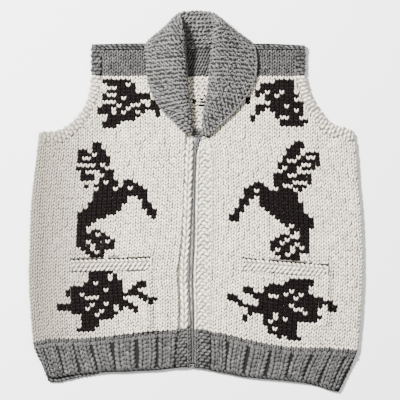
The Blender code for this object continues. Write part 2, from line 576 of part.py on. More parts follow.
def build_hems():
    def fade(v):
        return smooth_step((v - 0.06) / 0.10) * smooth_step((1.0 - v) / 0.14)

    for side in ("left", "right"):
        if side == "left":
            columns, heights = rib_columns(LEFT_GROOVES)
            base_top = spread(LEFT_HEM_TOP, body_head("left")[1])
            foot = spread(LEFT_HEM_FOOT, columns)
            left, right = LEFT_HEM_SIDE, LEFT_HEM_BAND_BODY
            open_sides = [("left", 0, 4), ("foot", 0, len(columns) - 1)]
        else:
            columns, heights = rib_columns(RIGHT_GROOVES)
            base_top = spread(RIGHT_HEM_TOP, body_head("right")[1])
            foot = spread(RIGHT_HEM_FOOT, columns)
            left, right = RIGHT_HEM_BAND_BODY, RIGHT_HEM_SIDE
            open_sides = [("right", 0, 4), ("foot", 0, len(columns) - 1)]
        head = [along(base_top, f) for f in columns]
        rows = [0.0, 0.07, 0.15, 0.86, 1.0]
        left = [along(left, f) for f in rows]
        right = [along(right, f) for f in rows]

        def hem_high(x, y, u, v, columns=columns, heights=heights):
            return FRONT_Z + HEM_WALL + RIB_HEIGHT * (rib_at(u, columns, heights) * fade(v) + 0.5 * (1.0 - fade(v)))

        cloth_piece("hem_" + side, "grey_wool", foot, right, head, left, columns, rows,
                    flat(FRONT_Z), hem_high, open_sides)
    columns = []
    heights = []
    for a, b in zip(BACK_GROOVES, BACK_GROOVES[1:]):
        for t, h in ((0.0, 0.0), (0.2, 1.0), (0.8, 1.0)):
            columns.append(a + (b - a) * t)
            heights.append(h)
    columns.append(1.0)
    heights.append(0.0)
    foot = spread(BACK_HEM_FOOT, columns)
    base_top = spread(BACK_HEM_TOP, body_head("back")[1])
    head = [along(base_top, f) for f in columns]
    rows = [0.0, 0.12, 0.88, 1.0]
    left = [along(BACK_LEFT_HEM_SIDE, f) for f in rows]
    right = [along(BACK_RIGHT_HEM_SIDE, f) for f in rows]

    def back_hem_low(x, y, u, v):
        return RIB_HEIGHT * (1.0 - (rib_at(u, columns, heights) * fade(v) + 0.5 * (1.0 - fade(v))))

    cloth_piece("hem_back", "grey_wool", foot, right, head, left, columns, rows, back_hem_low, flat(WALL),
                [("left", 0, 3), ("right", 0, 3)], True)


def build_front_bands():
    across = [0.0, 0.12, 0.5, 0.88, 1.0]
    high = FRONT_BAND_Z + FRONT_BAND_WALL

    def crowned(x, y, u, v):
        return high - 0.0016 * (2.0 * abs(u - 0.5)) ** 4

    for name, finish, left, right in (
            ("front_band_left", "cream_wool", LEFT_BAND_BODY, LEFT_BAND_ZIP),
            ("front_band_right", "cream_wool", RIGHT_BAND_ZIP, RIGHT_BAND_BODY),
            ("hem_band_left", "grey_wool", LEFT_HEM_BAND_BODY, LEFT_HEM_BAND_ZIP),
            ("hem_band_right", "grey_wool", RIGHT_HEM_BAND_ZIP, RIGHT_HEM_BAND_BODY)):
        foot = [Vector(left[0]).lerp(Vector(right[0]), f) for f in across]
        head = [Vector(left[-1]).lerp(Vector(right[-1]), f) for f in across]
        open_sides = [("foot", 0, 4)] if finish == "grey_wool" else [("head", 0, 4)]
        cloth_piece(name, finish, foot, right, head, left, across, even(len(left)), flat(FRONT_BAND_Z),
                    crowned, open_sides)


def build_zip():
    tape_line = [p for p in ZIP_LINE if p[1] > 144.0]
    tape_line = [(195.6, 144.8)] + tape_line
    for side, sign in (("left", -1.0), ("right", 1.0)):
        for kind, line, inner, outer, low, wall, finish in (
                ("zip_tape_", tape_line, 0.0, TAPE_WIDTH, FRONT_Z, TAPE_WALL, "zip_tape"),
                ("zip_teeth_", ZIP_LINE, 0.0, TEETH_HALF, TEETH_Z, TEETH_WALL, "zip_teeth")):
            near = [(x + sign * inner, y) for x, y in reversed(line)]
            far = [(x + sign * outer, y) for x, y in reversed(line)]
            left, right = (far, near) if sign < 0 else (near, far)
            foot = [left[0], right[0]]
            head = [left[-1], right[-1]]
            cloth_piece(kind + side, finish, foot, right, head, left, [0.0, 1.0], even(len(left)),
                        flat(low), flat(low + wall), [])
    stop = plan((192.25, 364.9))
    bpy.ops.mesh.primitive_cube_add(size=1.0, location=(stop.x, stop.y, 0.0072))
    box = bpy.context.object
    box.scale = (0.0040, 0.0048, 0.0036)
    adopt(box, "zip_stop", "zip_metal", 0.0005)


def adopt(piece, name, finish, bevel):
    """Name a primitive, apply its scale, give it a finish and a small bevel."""
    bpy.ops.object.transform_apply(location=False, rotation=True, scale=True)
    piece.name = name
    piece.data.name = name
    for owner in list(piece.users_collection):
        owner.objects.unlink(piece)
    vest.objects.link(piece)
    piece.data.materials.append(finish_of(finish))
    if bevel > 0.0:
        edge = piece.modifiers.new("bevel", "BEVEL")
        edge.width = bevel
        edge.segments = 1
        edge.limit_method = "ANGLE"
    return piece


def hidden_box(name, centre, size, turn=0.0):
    bpy.ops.mesh.primitive_cube_add(size=1.0, location=centre, rotation=(0.0, 0.0, math.radians(turn)))
    box = bpy.context.object
    box.scale = size
    bpy.ops.object.transform_apply(location=False, rotation=True, scale=True)
    box.name = name
    for owner in list(box.users_collection):
        owner.objects.unlink(box)
    cutters.objects.link(box)
    box.hide_render = True
    box.display_type = "WIRE"
    return box


def cut_with(piece, cutter, operation="DIFFERENCE"):
    change = piece.modifiers.new(cutter.name, "BOOLEAN")
    change.operation = operation
    change.solver = "EXACT"
    change.object = cutter


def build_slider():
    centre = plan(SLIDER_AT)
    width, length, height = SLIDER_SIZE
    bm = bmesh.new()
    outline = [(-0.30, -0.5), (0.30, -0.5), (0.36, -0.35), (0.5, 0.1), (0.46, 0.38), (0.25, 0.5), (-0.25, 0.5),
               (-0.46, 0.38), (-0.5, 0.1), (-0.36, -0.35)]
    lower = [bm.verts.new((centre.x + a * width, centre.y + b * length, FRONT_Z)) for a, b in outline]
    upper = [bm.verts.new((v.co.x, v.co.y, FRONT_Z + height)) for v in lower]
    count = len(outline)
    for k in range(count):
        n = (k + 1) % count
        bm.faces.new((lower[k], lower[n], upper[n], upper[k]))
    bm.faces.new(upper)
    bm.faces.new(list(reversed(lower)))
    slider = link_mesh("zip_slider", bm, "zip_metal", False)
    slot = hidden_box("slider_slot", (centre.x, centre.y - 0.0040, TEETH_Z + TEETH_WALL * 0.5 - 0.00005),
                      (0.014, 0.0062, TEETH_WALL + 0.0005))
    cut_with(slider, slot)
    top = FRONT_Z + height
    arch = hidden_box("slider_bridge", (centre.x, centre.y - 0.0002, top + 0.0013), (0.0018, 0.0072, 0.0034))
    cut_with(slider, arch, "UNION")
    window = hidden_box("slider_window", (centre.x, centre.y - 0.0002, top + 0.00095), (0.0060, 0.0048, 0.0018))
    cut_with(slider, window)
    hinge = Vector((centre.x, centre.y - 0.0014, top + 0.00095))
    bpy.ops.mesh.primitive_cube_add(size=1.0, location=(hinge.x, hinge.y - PULL_SIZE[1] * 0.5 + 0.0006, hinge.z))
    pull = bpy.context.object
    pull.scale = PULL_SIZE
    adopt(pull, "zip_pull", "zip_metal", 0.0)
    eye = hidden_box("pull_eye", (hinge.x, hinge.y - 0.002075, hinge.z), (0.0026, 0.00305, 0.004))
    cut_with(pull, eye)
    bridge_way = hidden_box("pull_hole", (hinge.x, hinge.y - 0.0082, hinge.z), (0.0020, 0.0030, 0.004))
    cut_with(pull, bridge_way)


def build_pockets(left_front, right_front):
    for side, front, pocket in (("left", left_front, LEFT_POCKET), ("right", right_front, RIGHT_POCKET)):
        x, y, width, height = pocket["welt"]
        tilt = pocket["tilt"]
        turn = math.radians(tilt)
        ahead = Vector((math.cos(turn), math.sin(turn)))
        above = Vector((-math.sin(turn), math.cos(turn)))
        middle = plan((x, y))
        half_w = width * 0.5 * PLAN_UNIT
        half_h = height * 0.5 * PLAN_UNIT
        slit = pocket["slit"] * PLAN_UNIT
        low = FRONT_Z + POCKET_LIFT
        cutter = hidden_box("pocket_mouth_" + side,
                            (middle.x + above.x * slit * 0.5, middle.y + above.y * slit * 0.5, low + 0.002),
                            (2.0 * half_w, 2.0 * half_h + slit, 0.020), tilt)
        cut_with(front, cutter)

        def corner(a, b):
            p = middle + ahead * (a * half_w) + above * (b * half_h)
            return (p.x / PLAN_UNIT + PLAN_CENTRE[0], PLAN_CENTRE[1] - p.y / PLAN_UNIT)

        across = [0.0, 0.02, 0.2, 0.4, 0.6, 0.8, 0.98, 1.0]
        rise = [0.0, 0.14, 0.5, 0.86, 1.0]
        inner = 1.0 - 0.00015 / half_w
        base = 1.0 - 0.00015 / half_h
        foot = [Vector(corner(-inner, -base)).lerp(Vector(corner(inner, -base)), f) for f in across]
        head = [Vector(corner(-inner, 1.0)).lerp(Vector(corner(inner, 1.0)), f) for f in across]
        left = [Vector(corner(-inner, -base)).lerp(Vector(corner(-inner, 1.0)), f) for f in rise]
        right = [Vector(corner(inner, -base)).lerp(Vector(corner(inner, 1.0)), f) for f in rise]

        def welt_high(px, py, u, v):
            return low + WELT_WALL - 0.0016 * (2.0 * abs(v - 0.5)) ** 4

        cloth_piece("pocket_welt_" + side, "cream_wool", foot, right, head, left, across, rise,
                    flat(low), welt_high, [])
        x0, y0, x1, y1 = pocket["lining"]
        foot = [Vector((x0, y1)).lerp(Vector((x1, y1)), f) for f in even(3)]
        head = [Vector((x0, y0)).lerp(Vector((x1, y0)), f) for f in even(3)]
        left = [Vector((x0, y1)).lerp(Vector((x0, y0)), f) for f in even(3)]
        right = [Vector((x1, y1)).lerp(Vector((x1, y0)), f) for f in even(3)]
        cloth_piece("pocket_lining_" + side, "cream_wool", foot, right, head, left, even(3), even(3),
                    flat(FRONT_Z), flat(FRONT_Z + LINING_WALL), [])


def build_collar():
    last = 2 * half
    count = int(round(last / COLLAR_STEP))
    sheet = []
    for k in range(count + 1):
        s = k * COLLAR_STEP
        section = []
        for m in range(7):
            p = rail(m, s)
            xy = plan((p.x, p.y))
            section.append(Vector((xy.x, xy.y, p.z * 0.001)))
        fine = [curve_at(section, i / 8.0) for i in range(8 * 6 + 1)]
        sheet.append([along(fine, i / COLLAR_STRIPS) for i in range(COLLAR_STRIPS + 1)])
    upper = []
    lower = []
    for k, row in enumerate(sheet):
        s = min(k, count - k) * COLLAR_STEP
        wall = COLLAR_TIP_WALL + (WALL - COLLAR_TIP_WALL) * smooth_step(s / 1.5)
        high_row = []
        low_row = []
        for i in range(len(row)):
            ahead = sheet[min(k + 1, count)][i] - sheet[max(k - 1, 0)][i]
            across = row[min(i + 1, len(row) - 1)] - row[max(i - 1, 0)]
            normal = across.cross(ahead).normalized()
            if i == 0:
                normal = Vector((0.0, 0.0, 1.0 if normal.z > 0.0 else -1.0))
            part = wall
            if i == len(row) - 1:
                part = wall * 0.55
            high_row.append(row[i] + normal * (part * 0.5))
            low_row.append(row[i] - normal * (part * 0.5))
        upper.append(high_row)
        lower.append(low_row)
    for grid in (upper, lower):
        for row in grid:
            for p in row:
                p.z = max(p.z, 0.0001)
    wall_between("collar", upper, lower, "grey_wool")


for item in list(bpy.data.objects):
    bpy.data.objects.remove(item, do_unlink=True)
vest = bpy.data.collections.new("zip_vest")
bpy.context.scene.collection.children.link(vest)
cutters = bpy.data.collections.new("cutters")
bpy.context.scene.collection.children.link(cutters)

build_back()
front_pieces = build_fronts()
build_yokes()
build_armbands()
build_hems()
build_front_bands()
build_zip()
build_slider()
build_pockets(*front_pieces)
build_collar()
print("pieces:", len(vest.objects))
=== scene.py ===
import math

import bmesh
import bpy
import numpy as np
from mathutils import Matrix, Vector
from mathutils.bvhtree import BVHTree

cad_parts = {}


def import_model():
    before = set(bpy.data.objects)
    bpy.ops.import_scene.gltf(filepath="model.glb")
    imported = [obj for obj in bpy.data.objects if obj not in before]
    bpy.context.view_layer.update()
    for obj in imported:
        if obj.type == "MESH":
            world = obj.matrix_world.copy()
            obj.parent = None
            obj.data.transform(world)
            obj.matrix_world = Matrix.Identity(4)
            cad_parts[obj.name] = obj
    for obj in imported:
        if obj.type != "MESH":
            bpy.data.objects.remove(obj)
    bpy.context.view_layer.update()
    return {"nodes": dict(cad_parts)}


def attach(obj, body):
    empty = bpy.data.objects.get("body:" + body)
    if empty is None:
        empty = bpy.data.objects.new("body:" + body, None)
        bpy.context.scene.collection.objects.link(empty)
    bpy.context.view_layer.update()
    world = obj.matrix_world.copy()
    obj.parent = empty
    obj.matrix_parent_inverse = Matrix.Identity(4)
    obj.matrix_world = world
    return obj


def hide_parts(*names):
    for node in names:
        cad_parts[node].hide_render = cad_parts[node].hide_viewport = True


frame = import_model()
rng = np.random.default_rng(11)

# Plan units: x to the right and y down, one unit is 1.65 mm, about a fifth of a stitch.
planUnit = 0.00165
planCentre = (195.0, 200.5)
mm = 0.001
yokeLine = 75.2  # height on the plan where the yokes begin

# Lines of the pattern in plan units, as (x, y)
leftSide = [(32.5, 341.9), (30.8, 326), (30.0, 312), (28.9, 298), (28.1, 282), (28.4, 262), (29.0, 245),
            (29.3, 228), (30.0, 212), (31.0, 196), (32.8, 180), (34.0, 168), (35.8, 156), (37.3, 142.2)]
rightSide = [(357.0, 349.6), (358.2, 336), (359.5, 322), (360.5, 306), (361.3, 290), (361.8, 274),
             (361.8, 256), (361.4, 238), (360.7, 222), (359.6, 205), (358.0, 188), (356.6, 172),
             (355.7, 156), (354.2, 140.2)]
leftBandBody = [(178.5, 329.4), (178.9, 316), (179.2, 303), (179.0, 292), (177.6, 280.5), (177.8, 270),
                (179.2, 260), (181.2, 246), (182.4, 232), (183.1, 218), (183.8, 204), (184.4, 190),
                (184.9, 176), (185.3, 162), (185.8, 149), (186.0, 137)]
leftBandZip = [(189.4, 326.4), (189.3, 314), (188.6, 302), (188.1, 291), (188.0, 281), (188.7, 271),
               (188.5, 262), (188.9, 249), (189.4, 235), (189.8, 220), (190.2, 205), (190.6, 190),
               (191.0, 176), (191.5, 162), (192.2, 149), (192.5, 136)]
rightBandZip = [(193.4, 328.7), (193.4, 316), (193.2, 304), (192.9, 293), (192.4, 279), (193.0, 265),
                (193.7, 250), (194.0, 238), (194.2, 224), (194.4, 211), (194.6, 198), (194.8, 185),
                (195.1, 172), (195.7, 160), (196.9, 151.5), (199.3, 140)]
rightBandBody = [(210.1, 330.8), (210.4, 317), (210.7, 303), (211.0, 289), (211.6, 276), (212.2, 263),
                 (212.5, 250), (212.7, 237), (212.8, 224), (212.9, 211), (213.0, 198), (213.0, 185),
                 (213.0, 172), (212.8, 160), (211.9, 150), (209.4, 141)]
leftHemTop = [(32.5, 341.9), (51, 338.4), (71, 338.2), (89, 337.6), (110, 335.8), (128, 333.4),
              (153, 330.4), (178.5, 329.4)]
rightHemTop = [(210.1, 330.8), (222, 332.6), (243, 338.2), (266, 343.2), (289, 346.6), (310, 347.4),
               (325, 347.0), (340, 348.0), (357.0, 349.6)]
backHemTop = [(32.5, 341.9), (80, 338), (140, 332.5), (195, 330), (250, 338), (310, 346), (357.0, 349.6)]
leftHemFoot = [(48.0, 377.0), (56, 378.4), (64, 376.2), (76, 374.6), (88, 373.6), (106, 371.8),
               (124, 371.6), (142, 370.4), (156, 370), (174.0, 367.6)]
rightHemFoot = [(209.6, 369.4), (214, 371), (226, 373), (240, 376), (256, 378), (280, 380), (298, 382),
                (311, 383.6), (322, 387), (329, 389.6), (336.6, 391.2)]
backHemFoot = [(47.2, 380.6), (52, 382.2), (58, 382), (66, 379.6), (80, 376.4), (100, 372.4), (130, 371),
               (160, 369.6), (195, 366.2), (226, 372.6), (256, 377.8), (298, 381.8), (322, 387),
               (338.0, 391.8)]
leftHemBand = [(174.0, 367.6), (178.5, 329.4)]
rightHemBand = [(209.6, 369.4), (210.1, 330.8)]
leftHemZip = [(190.8, 366.3), (190.8, 357), (190.6, 347), (190.2, 336.5), (189.4, 326.4)]
rightHemZip = [(193.7, 366.4), (193.7, 357), (193.6, 347.5), (193.5, 338), (193.4, 328.7)]
leftArmBody = [(37.3, 142.2), (44, 141.8), (52, 142.0), (61.5, 141), (70, 136.5), (77.5, 129.5),
               (84.5, 121), (90.5, 111.5), (95, 102), (98, 92.5), (99.5, 84), (100.3, 75.2)]
leftArmFree = [(38.2, 132.6), (42.5, 131.2), (50, 131.6), (58, 130.2), (63.8, 127.6), (70, 123),
               (76.3, 117), (82.3, 109), (86.1, 102), (88.5, 94), (90.3, 84), (91.0, 75.2)]
rightArmBody = [(354.2, 140.2), (348.5, 139.5), (342.5, 138.8), (335.5, 137.5), (328, 134.5), (321, 128.8),
                (314.5, 121), (309, 112.3), (303.6, 103), (299.8, 93), (297, 84), (295.5, 75.2)]
rightArmFree = [(353.2, 134), (351.2, 130.8), (347, 128.1), (340.5, 126.4), (334.5, 124.8), (329, 122),
                (323.8, 117), (318.3, 109.3), (313.3, 102), (308.9, 94), (306.2, 84), (304, 75.2)]
zipLine = [(195.6, 144.8), (195.5, 147.5), (195.2, 151.5), (194.4, 159), (193.8, 172), (193.5, 185),
           (193.3, 198), (193.1, 211), (192.9, 224), (192.7, 238), (192.4, 250), (191.7, 265), (191.1, 279),
           (191.6, 293), (191.9, 304), (192.1, 316), (192.1, 328), (192.2, 345), (192.2, 362.6)]
leftGrooves = [0.0, 0.045, 0.146, 0.265, 0.395, 0.539, 0.713, 0.859, 1.0]
rightGrooves = [0.0, 0.125, 0.270, 0.430, 0.585, 0.718, 0.844, 0.947, 1.0]


# Point of the plan as a point of the shared frame
def world(px, py, z=0.0):
    return Vector(((px - planCentre[0]) * planUnit, (planCentre[1] - py) * planUnit, z))


# x of a line of the pattern at a height y
def acrossAt(line, y):
    points = sorted(line, key=lambda p: p[1])
    return float(np.interp(y, [p[1] for p in points], [p[0] for p in points]))


# y of a line of the pattern at x
def heightAt(line, x):
    return float(np.interp(x, [p[0] for p in line], [p[1] for p in line]))


# Distance walked along a line up to each of its points
def walked(points):
    steps = np.linalg.norm(np.diff(np.array(points, float), axis=0), axis=1)
    return np.concatenate([[0.0], np.cumsum(steps)])


# Point of a plan line at a distance walked along it
def pointAt(line, walk, distance):
    return np.array([np.interp(distance, walk, line[:, 0]), np.interp(distance, walk, line[:, 1])])


# Point at a fraction of a line's length
def alongLine(line, fraction):
    points = np.array(line, float)
    walk = walked(points)
    return pointAt(points, walk, fraction * walk[-1])


# Surfaces of the solids, which every stitch lies on
trees = {name: BVHTree.FromPolygons([v.co.copy() for v in node.data.vertices],
                                    [tuple(p.vertices) for p in node.data.polygons])
         for name, node in frame["nodes"].items()}

# Soft ridges and troughs in the cloth: from, to, half width in plan units, height in mm
creases = {
    "front": [((149.6, 264), (149.0, 294), 2.4, 3.6), ((148.2, 300), (147.4, 326), 4.0, 4.6),
              ((157.0, 264), (155.6, 328), 3.6, -1.4), ((326.2, 266), (326.8, 292), 2.4, 3.4),
              ((327.0, 298), (325.4, 322), 3.6, 4.2), ((335.6, 264), (333.4, 322), 3.6, -1.4),
              ((238.0, 262), (239.0, 322), 3.0, -0.9), ((66.0, 262), (68.0, 322), 3.0, -0.8),
              ((173.5, 200), (172.5, 322), 4.0, -1.2), ((168, 132), (178, 205), 5.0, -1.0),
              ((66, 143), (92, 186), 6.0, -1.3), ((52, 146), (58, 205), 5.0, 0.9),
              ((45, 160), (41, 330), 5.0, -1.2), ((327, 141), (303, 182), 6.0, -1.3),
              ((340, 143), (337, 200), 5.0, 0.9), ((218, 150), (217, 290), 4.5, -1.0),
              ((224, 140), (233, 205), 6.0, 0.8), ((104, 90), (140, 132), 7.0, 0.8),
              ((292, 92), (262, 133), 7.0, 0.8), ((76, 250), (146, 248), 4.0, 1.1),
              ((238, 250), (318, 256), 4.0, 1.1), ((70, 272), (150, 271), 3.5, -0.8),
              ((240, 272), (322, 279), 3.5, -0.8), ((40, 232), (47, 322), 6.0, 0.8),
              ((350, 240), (346, 330), 6.0, 0.8), ((150, 215), (120, 245), 8.0, 0.9),
              ((232, 218), (262, 246), 8.0, 0.8)],
    "back": [((70, 150), (110, 215), 9.0, -0.9), ((318, 150), (282, 220), 9.0, -0.9),
             ((120, 236), (240, 244), 10.0, -0.8), ((92, 290), (160, 282), 8.0, -0.8)],
}
creaseFade = 0.25  # a crease dies out over this share of its length past each end


# Height of the creases at a plan point, in metres
def creaseAt(px, py, side="front"):
    total = 0.0
    for (x0, y0), (x1, y1), width, height in creases[side]:
        dx, dy = x1 - x0, y1 - y0
        t = ((px - x0) * dx + (py - y0) * dy) / (dx * dx + dy * dy)
        past = max(-t, t - 1.0, 0.0)
        if past < creaseFade:
            clear = ((px - x0) * dy - (py - y0) * dx) / math.hypot(dx, dy)
            total += height * mm * math.exp(-(clear / width) ** 2) * (1.0 - past / creaseFade)
    return total


farBelow, farAbove = -0.1, 0.2  # heights in metres that are clear of the vest


# Height and normal of a solid's upper or lower face at a plan point, or None beside it
def touch(node, px, py, below=False):
    start = world(px, py, farBelow if below else farAbove)
    place, normal, _, _ = trees[node].ray_cast(start, Vector((0, 0, 1.0 if below else -1.0)))
    if place is None:
        return None
    if (normal.z < 0) != below:
        normal = -normal
    return place.z, normal


# Linear colour of an sRGB hex text
def linear(text):
    parts = [int(text[k:k + 2], 16) / 255.0 for k in (1, 3, 5)]
    return tuple(p / 12.92 if p <= 0.04045 else ((p + 0.055) / 1.055) ** 2.4 for p in parts) + (1.0,)


# Add a node, set its sockets or properties and link its inputs
def addNode(tree, kind, settings=None, links=None):
    node = tree.nodes.new(kind)
    for key, value in (settings or {}).items():
        if isinstance(key, int) or key in node.inputs:
            node.inputs[key].default_value = value
        else:
            setattr(node, key, value)
    for key, source in (links or {}).items():
        tree.links.new(source, node.inputs[key])
    return node


# A new material with its tree and shader, and roughness and specular level set on the shader
def newMaterial(name, roughness, specular=0.5):
    material = bpy.data.materials.new(name)
    material.use_nodes = True
    shader = material.node_tree.nodes["Principled BSDF"]
    shader.inputs["Roughness"].default_value = roughness
    shader.inputs["Specular IOR Level"].default_value = specular
    return material, material.node_tree, shader


# Noise scale for lumps of a size in millimetres
def lumps(size):
    return 1000.0 / size


# Base colour between two hex colours by a node's output
def tint(tree, shader, low, high, amount):
    settings = {"data_type": "RGBA", 6: linear(low), 7: linear(high)}
    colour = addNode(tree, "ShaderNodeMix", settings, {0: amount})
    tree.links.new(colour.outputs[2], shader.inputs["Base Color"])


# Relief from a node's output; depth in millimetres
def emboss(tree, shader, strength, depth, height):
    bump = addNode(tree, "ShaderNodeBump", {"Strength": strength, "Distance": depth * mm},
                   {"Height": height})
    tree.links.new(bump.outputs[0], shader.inputs["Normal"])


# Yarns: lighter and darker fibre colours, a fleck colour, a colour of painted shade, and how much the fibres
# are mixed in one strand. flank is how strongly the painted shade covers a strand's sides and tips, and the
# last value how far the outer left side turns to the fleck colour
yarns = {
    "creamHandspunWool": {"light": "#f6eedb", "dark": "#bfb8a8", "fleck": "#868073", "shade": "#66615a",
                          "marl": 0.5, "flank": 0.9, "sheen": 0.06, "gloss": 0.2, "toneDrift": 0.95},
    "darkHandspunWool": {"light": "#120d0d", "dark": "#080505", "fleck": "#2e2523", "shade": "#040302",
                         "marl": 0.6, "flank": 0.8, "sheen": 0.0, "gloss": 0.06, "toneDrift": 0.0},
    "greyMarledWool": {"light": "#646361", "dark": "#2b2b2a", "fleck": "#212020", "shade": "#131313",
                       "marl": 1.0, "flank": 0.8, "sheen": 0.03, "gloss": 0.15, "toneDrift": 0.0},
    "greyMarledWoolPaintedLighter": {"light": "#7b7a78", "dark": "#403f3e", "fleck": "#2f2e2e", "shade": "#181818",
                           "marl": 1.0, "flank": 0.85, "sheen": 0.03, "gloss": 0.15, "toneDrift": 0.0},
}
# Spinning: fibre bundles and plies in mm of strand, relief in mm, and the noise values where flecks begin
spinning = {"fibre": 3.846, "ply": 3.5, "plySlant": 1.9, "plyDepth": 0.55, "relief": 0.5, "roughness": 0.92,
            "sheenRoughness": 0.5, "batchScale": 37.0, "batchShare": 0.75, "leftGreyingEdge": (-0.13, -0.25),
            "fleck": (0.66, 0.78), "flankEdge": (0.08, 0.95)}


# Wool spun by hand and left unbrushed: dull, with two twisted plies seen as slanted grooves,
# and short fibres that break up the shading
def yarnMaterial(name):
    choice = yarns[name]
    material, tree, shader = newMaterial(name, spinning["roughness"], choice["gloss"])
    lay = addNode(tree, "ShaderNodeAttribute", {"attribute_name": "lay"})
    parts = addNode(tree, "ShaderNodeSeparateXYZ", links={0: lay.outputs["Vector"]})
    along, across, shade = parts.outputs

    # one colour over another by a node's output
    def over(base, key, amount):
        settings = {"data_type": "RGBA", 7: linear(choice[key])}
        return addNode(tree, "ShaderNodeMix", settings, {0: amount, 6: base}).outputs[2]

    # slow change of tone between strands, as dyed and carded in batches
    toneDrift = addNode(tree, "ShaderNodeTexNoise", {"noise_dimensions": "1D", "Scale": spinning["batchScale"]},
                    {"W": shade})
    fibreLay = addNode(tree, "ShaderNodeVectorMath",
                       {"operation": "MULTIPLY", 1: (lumps(spinning["fibre"]), 2.2, 90.0)},
                       {0: lay.outputs["Vector"]})
    fibres = addNode(tree, "ShaderNodeTexNoise", {"Scale": 1.6, "Detail": 3.0},
                     {"Vector": fibreLay.outputs[0]})
    tone = addNode(tree, "ShaderNodeMath", {"operation": "MULTIPLY", 1: choice["marl"]},
                   {0: fibres.outputs["Fac"]})
    tone = addNode(tree, "ShaderNodeMath", {"operation": "MULTIPLY_ADD", 1: spinning["batchShare"]},
                   {0: toneDrift.outputs["Fac"], 2: tone.outputs[0]})
    ramp = addNode(tree, "ShaderNodeMapRange", {"From Min": 0.25 + 0.35 * choice["marl"],
                                                "From Max": 0.50 + 0.65 * choice["marl"]},
                   {"Value": tone.outputs[0]})
    body = addNode(tree, "ShaderNodeMix", {"data_type": "RGBA", 6: linear(choice["dark"]),
                                           7: linear(choice["light"])}, {0: ramp.outputs[0]})
    low, high = spinning["fleck"]
    speck = addNode(tree, "ShaderNodeMapRange", {"From Min": low, "From Max": high},
                    {"Value": fibres.outputs[0]})
    colour = over(body.outputs[2], "fleck", speck.outputs[0])
    # the outer left side is drawn greyer, turning towards the fleck colour
    place = addNode(tree, "ShaderNodeTexCoord")
    side = addNode(tree, "ShaderNodeSeparateXYZ", links={0: place.outputs["Object"]})
    inner, outer = spinning["leftGreyingEdge"]
    leftSideGreying = addNode(tree, "ShaderNodeMapRange",
                        {"From Min": inner, "From Max": outer, "To Max": choice["toneDrift"]},
                        {"Value": side.outputs["X"]})
    colour = over(colour, "fleck", leftSideGreying.outputs[0])
    # painted shade on the flanks and tips of each strand, which keeps neighbours apart under soft light
    paintedShade = addNode(tree, "ShaderNodeAttribute", {"attribute_name": "shade"})
    paintedShade = addNode(tree, "ShaderNodeSeparateXYZ", links={0: paintedShade.outputs["Vector"]})
    low, high = spinning["flankEdge"]
    flank = addNode(tree, "ShaderNodeMapRange",
                    {"From Min": low, "From Max": high, "To Max": choice["flank"]},
                    {"Value": paintedShade.outputs["X"]})
    tree.links.new(over(colour, "shade", flank.outputs[0]), shader.inputs["Base Color"])
    # plies: one slanted groove for each length of ply
    turn = addNode(tree, "ShaderNodeMath",
                   {"operation": "MULTIPLY", 1: 2.0 * math.pi / (spinning["ply"] * mm)}, {0: along})
    slant = addNode(tree, "ShaderNodeMath", {"operation": "MULTIPLY_ADD", 1: spinning["plySlant"]},
                    {0: across, 2: turn.outputs[0]})
    ply = addNode(tree, "ShaderNodeMath", {"operation": "SINE"}, {0: slant.outputs[0]})
    relief = addNode(tree, "ShaderNodeMath", {"operation": "MULTIPLY_ADD", 1: spinning["plyDepth"]},
                     {0: ply.outputs[0], 2: fibres.outputs["Fac"]})
    emboss(tree, shader, 0.5, spinning["relief"], relief.outputs[0])
    shader.inputs["Sheen Weight"].default_value = choice["sheen"]
    shader.inputs["Sheen Roughness"].default_value = spinning["sheenRoughness"]
    return material


# Felted wool between the strands, its colour darkened with painted shade so that the gaps read dark but not
# empty
def shadedWool(name, low, high):
    material, tree, shader = newMaterial(name, 0.95, 0.2)
    place = addNode(tree, "ShaderNodeTexCoord")
    felt = addNode(tree, "ShaderNodeTexNoise", {"Scale": lumps(1.111), "Detail": 2.0},
                   {"Vector": place.outputs["Object"]})
    tint(tree, shader, low, high, felt.outputs["Fac"])
    emboss(tree, shader, 0.4, 0.4, felt.outputs["Fac"])
    return material


# Woven polyester tape: a herringbone that catches a little light. Its real threads are too fine to show, so
# it is drawn as coarse as 1.5 mm
def tapeMaterial(low, high):
    material, tree, shader = newMaterial("wovenGreyTape", 0.75)
    place = addNode(tree, "ShaderNodeTexCoord")
    threads = 1.496
    weave = addNode(tree, "ShaderNodeTexWave",
                    {"wave_type": "BANDS", "bands_direction": "DIAGONAL",
                     "Scale": 2.0 * math.pi / (10.0 * threads * mm), "Distortion": 0.6},
                    {"Vector": place.outputs["Object"]})
    tint(tree, shader, low, high, weave.outputs["Fac"])
    emboss(tree, shader, 0.3, 0.2, weave.outputs["Fac"])
    return material


# Grey nylon coil, moulded round a cord and slightly glossy from handling, with duller worn patches
def coilMaterial(low, high):
    material, tree, shader = newMaterial("mouldedNylonCoil", 0.5)
    place = addNode(tree, "ShaderNodeTexCoord")
    wear = addNode(tree, "ShaderNodeTexNoise", {"Scale": lumps(3.846)}, {"Vector": place.outputs["Object"]})
    tint(tree, shader, low, high, wear.outputs["Fac"])
    return material


# Nickel-plated die casting, polished by tumbling: bright, with fine handling marks in the gloss
def metalMaterial(colour, smooth, marked):
    material, tree, shader = newMaterial("platedZipMetal", smooth)
    place = addNode(tree, "ShaderNodeTexCoord")
    marks = addNode(tree, "ShaderNodeTexNoise", {"Scale": lumps(1.429), "Detail": 4.0},
                    {"Vector": place.outputs["Object"]})
    gloss = addNode(tree, "ShaderNodeMapRange", {"To Min": smooth, "To Max": marked},
                    {"Value": marks.outputs["Fac"]})
    tree.links.new(gloss.outputs[0], shader.inputs["Roughness"])
    shader.inputs["Base Color"].default_value = linear(colour)
    shader.inputs["Metallic"].default_value = 1.0
    return material


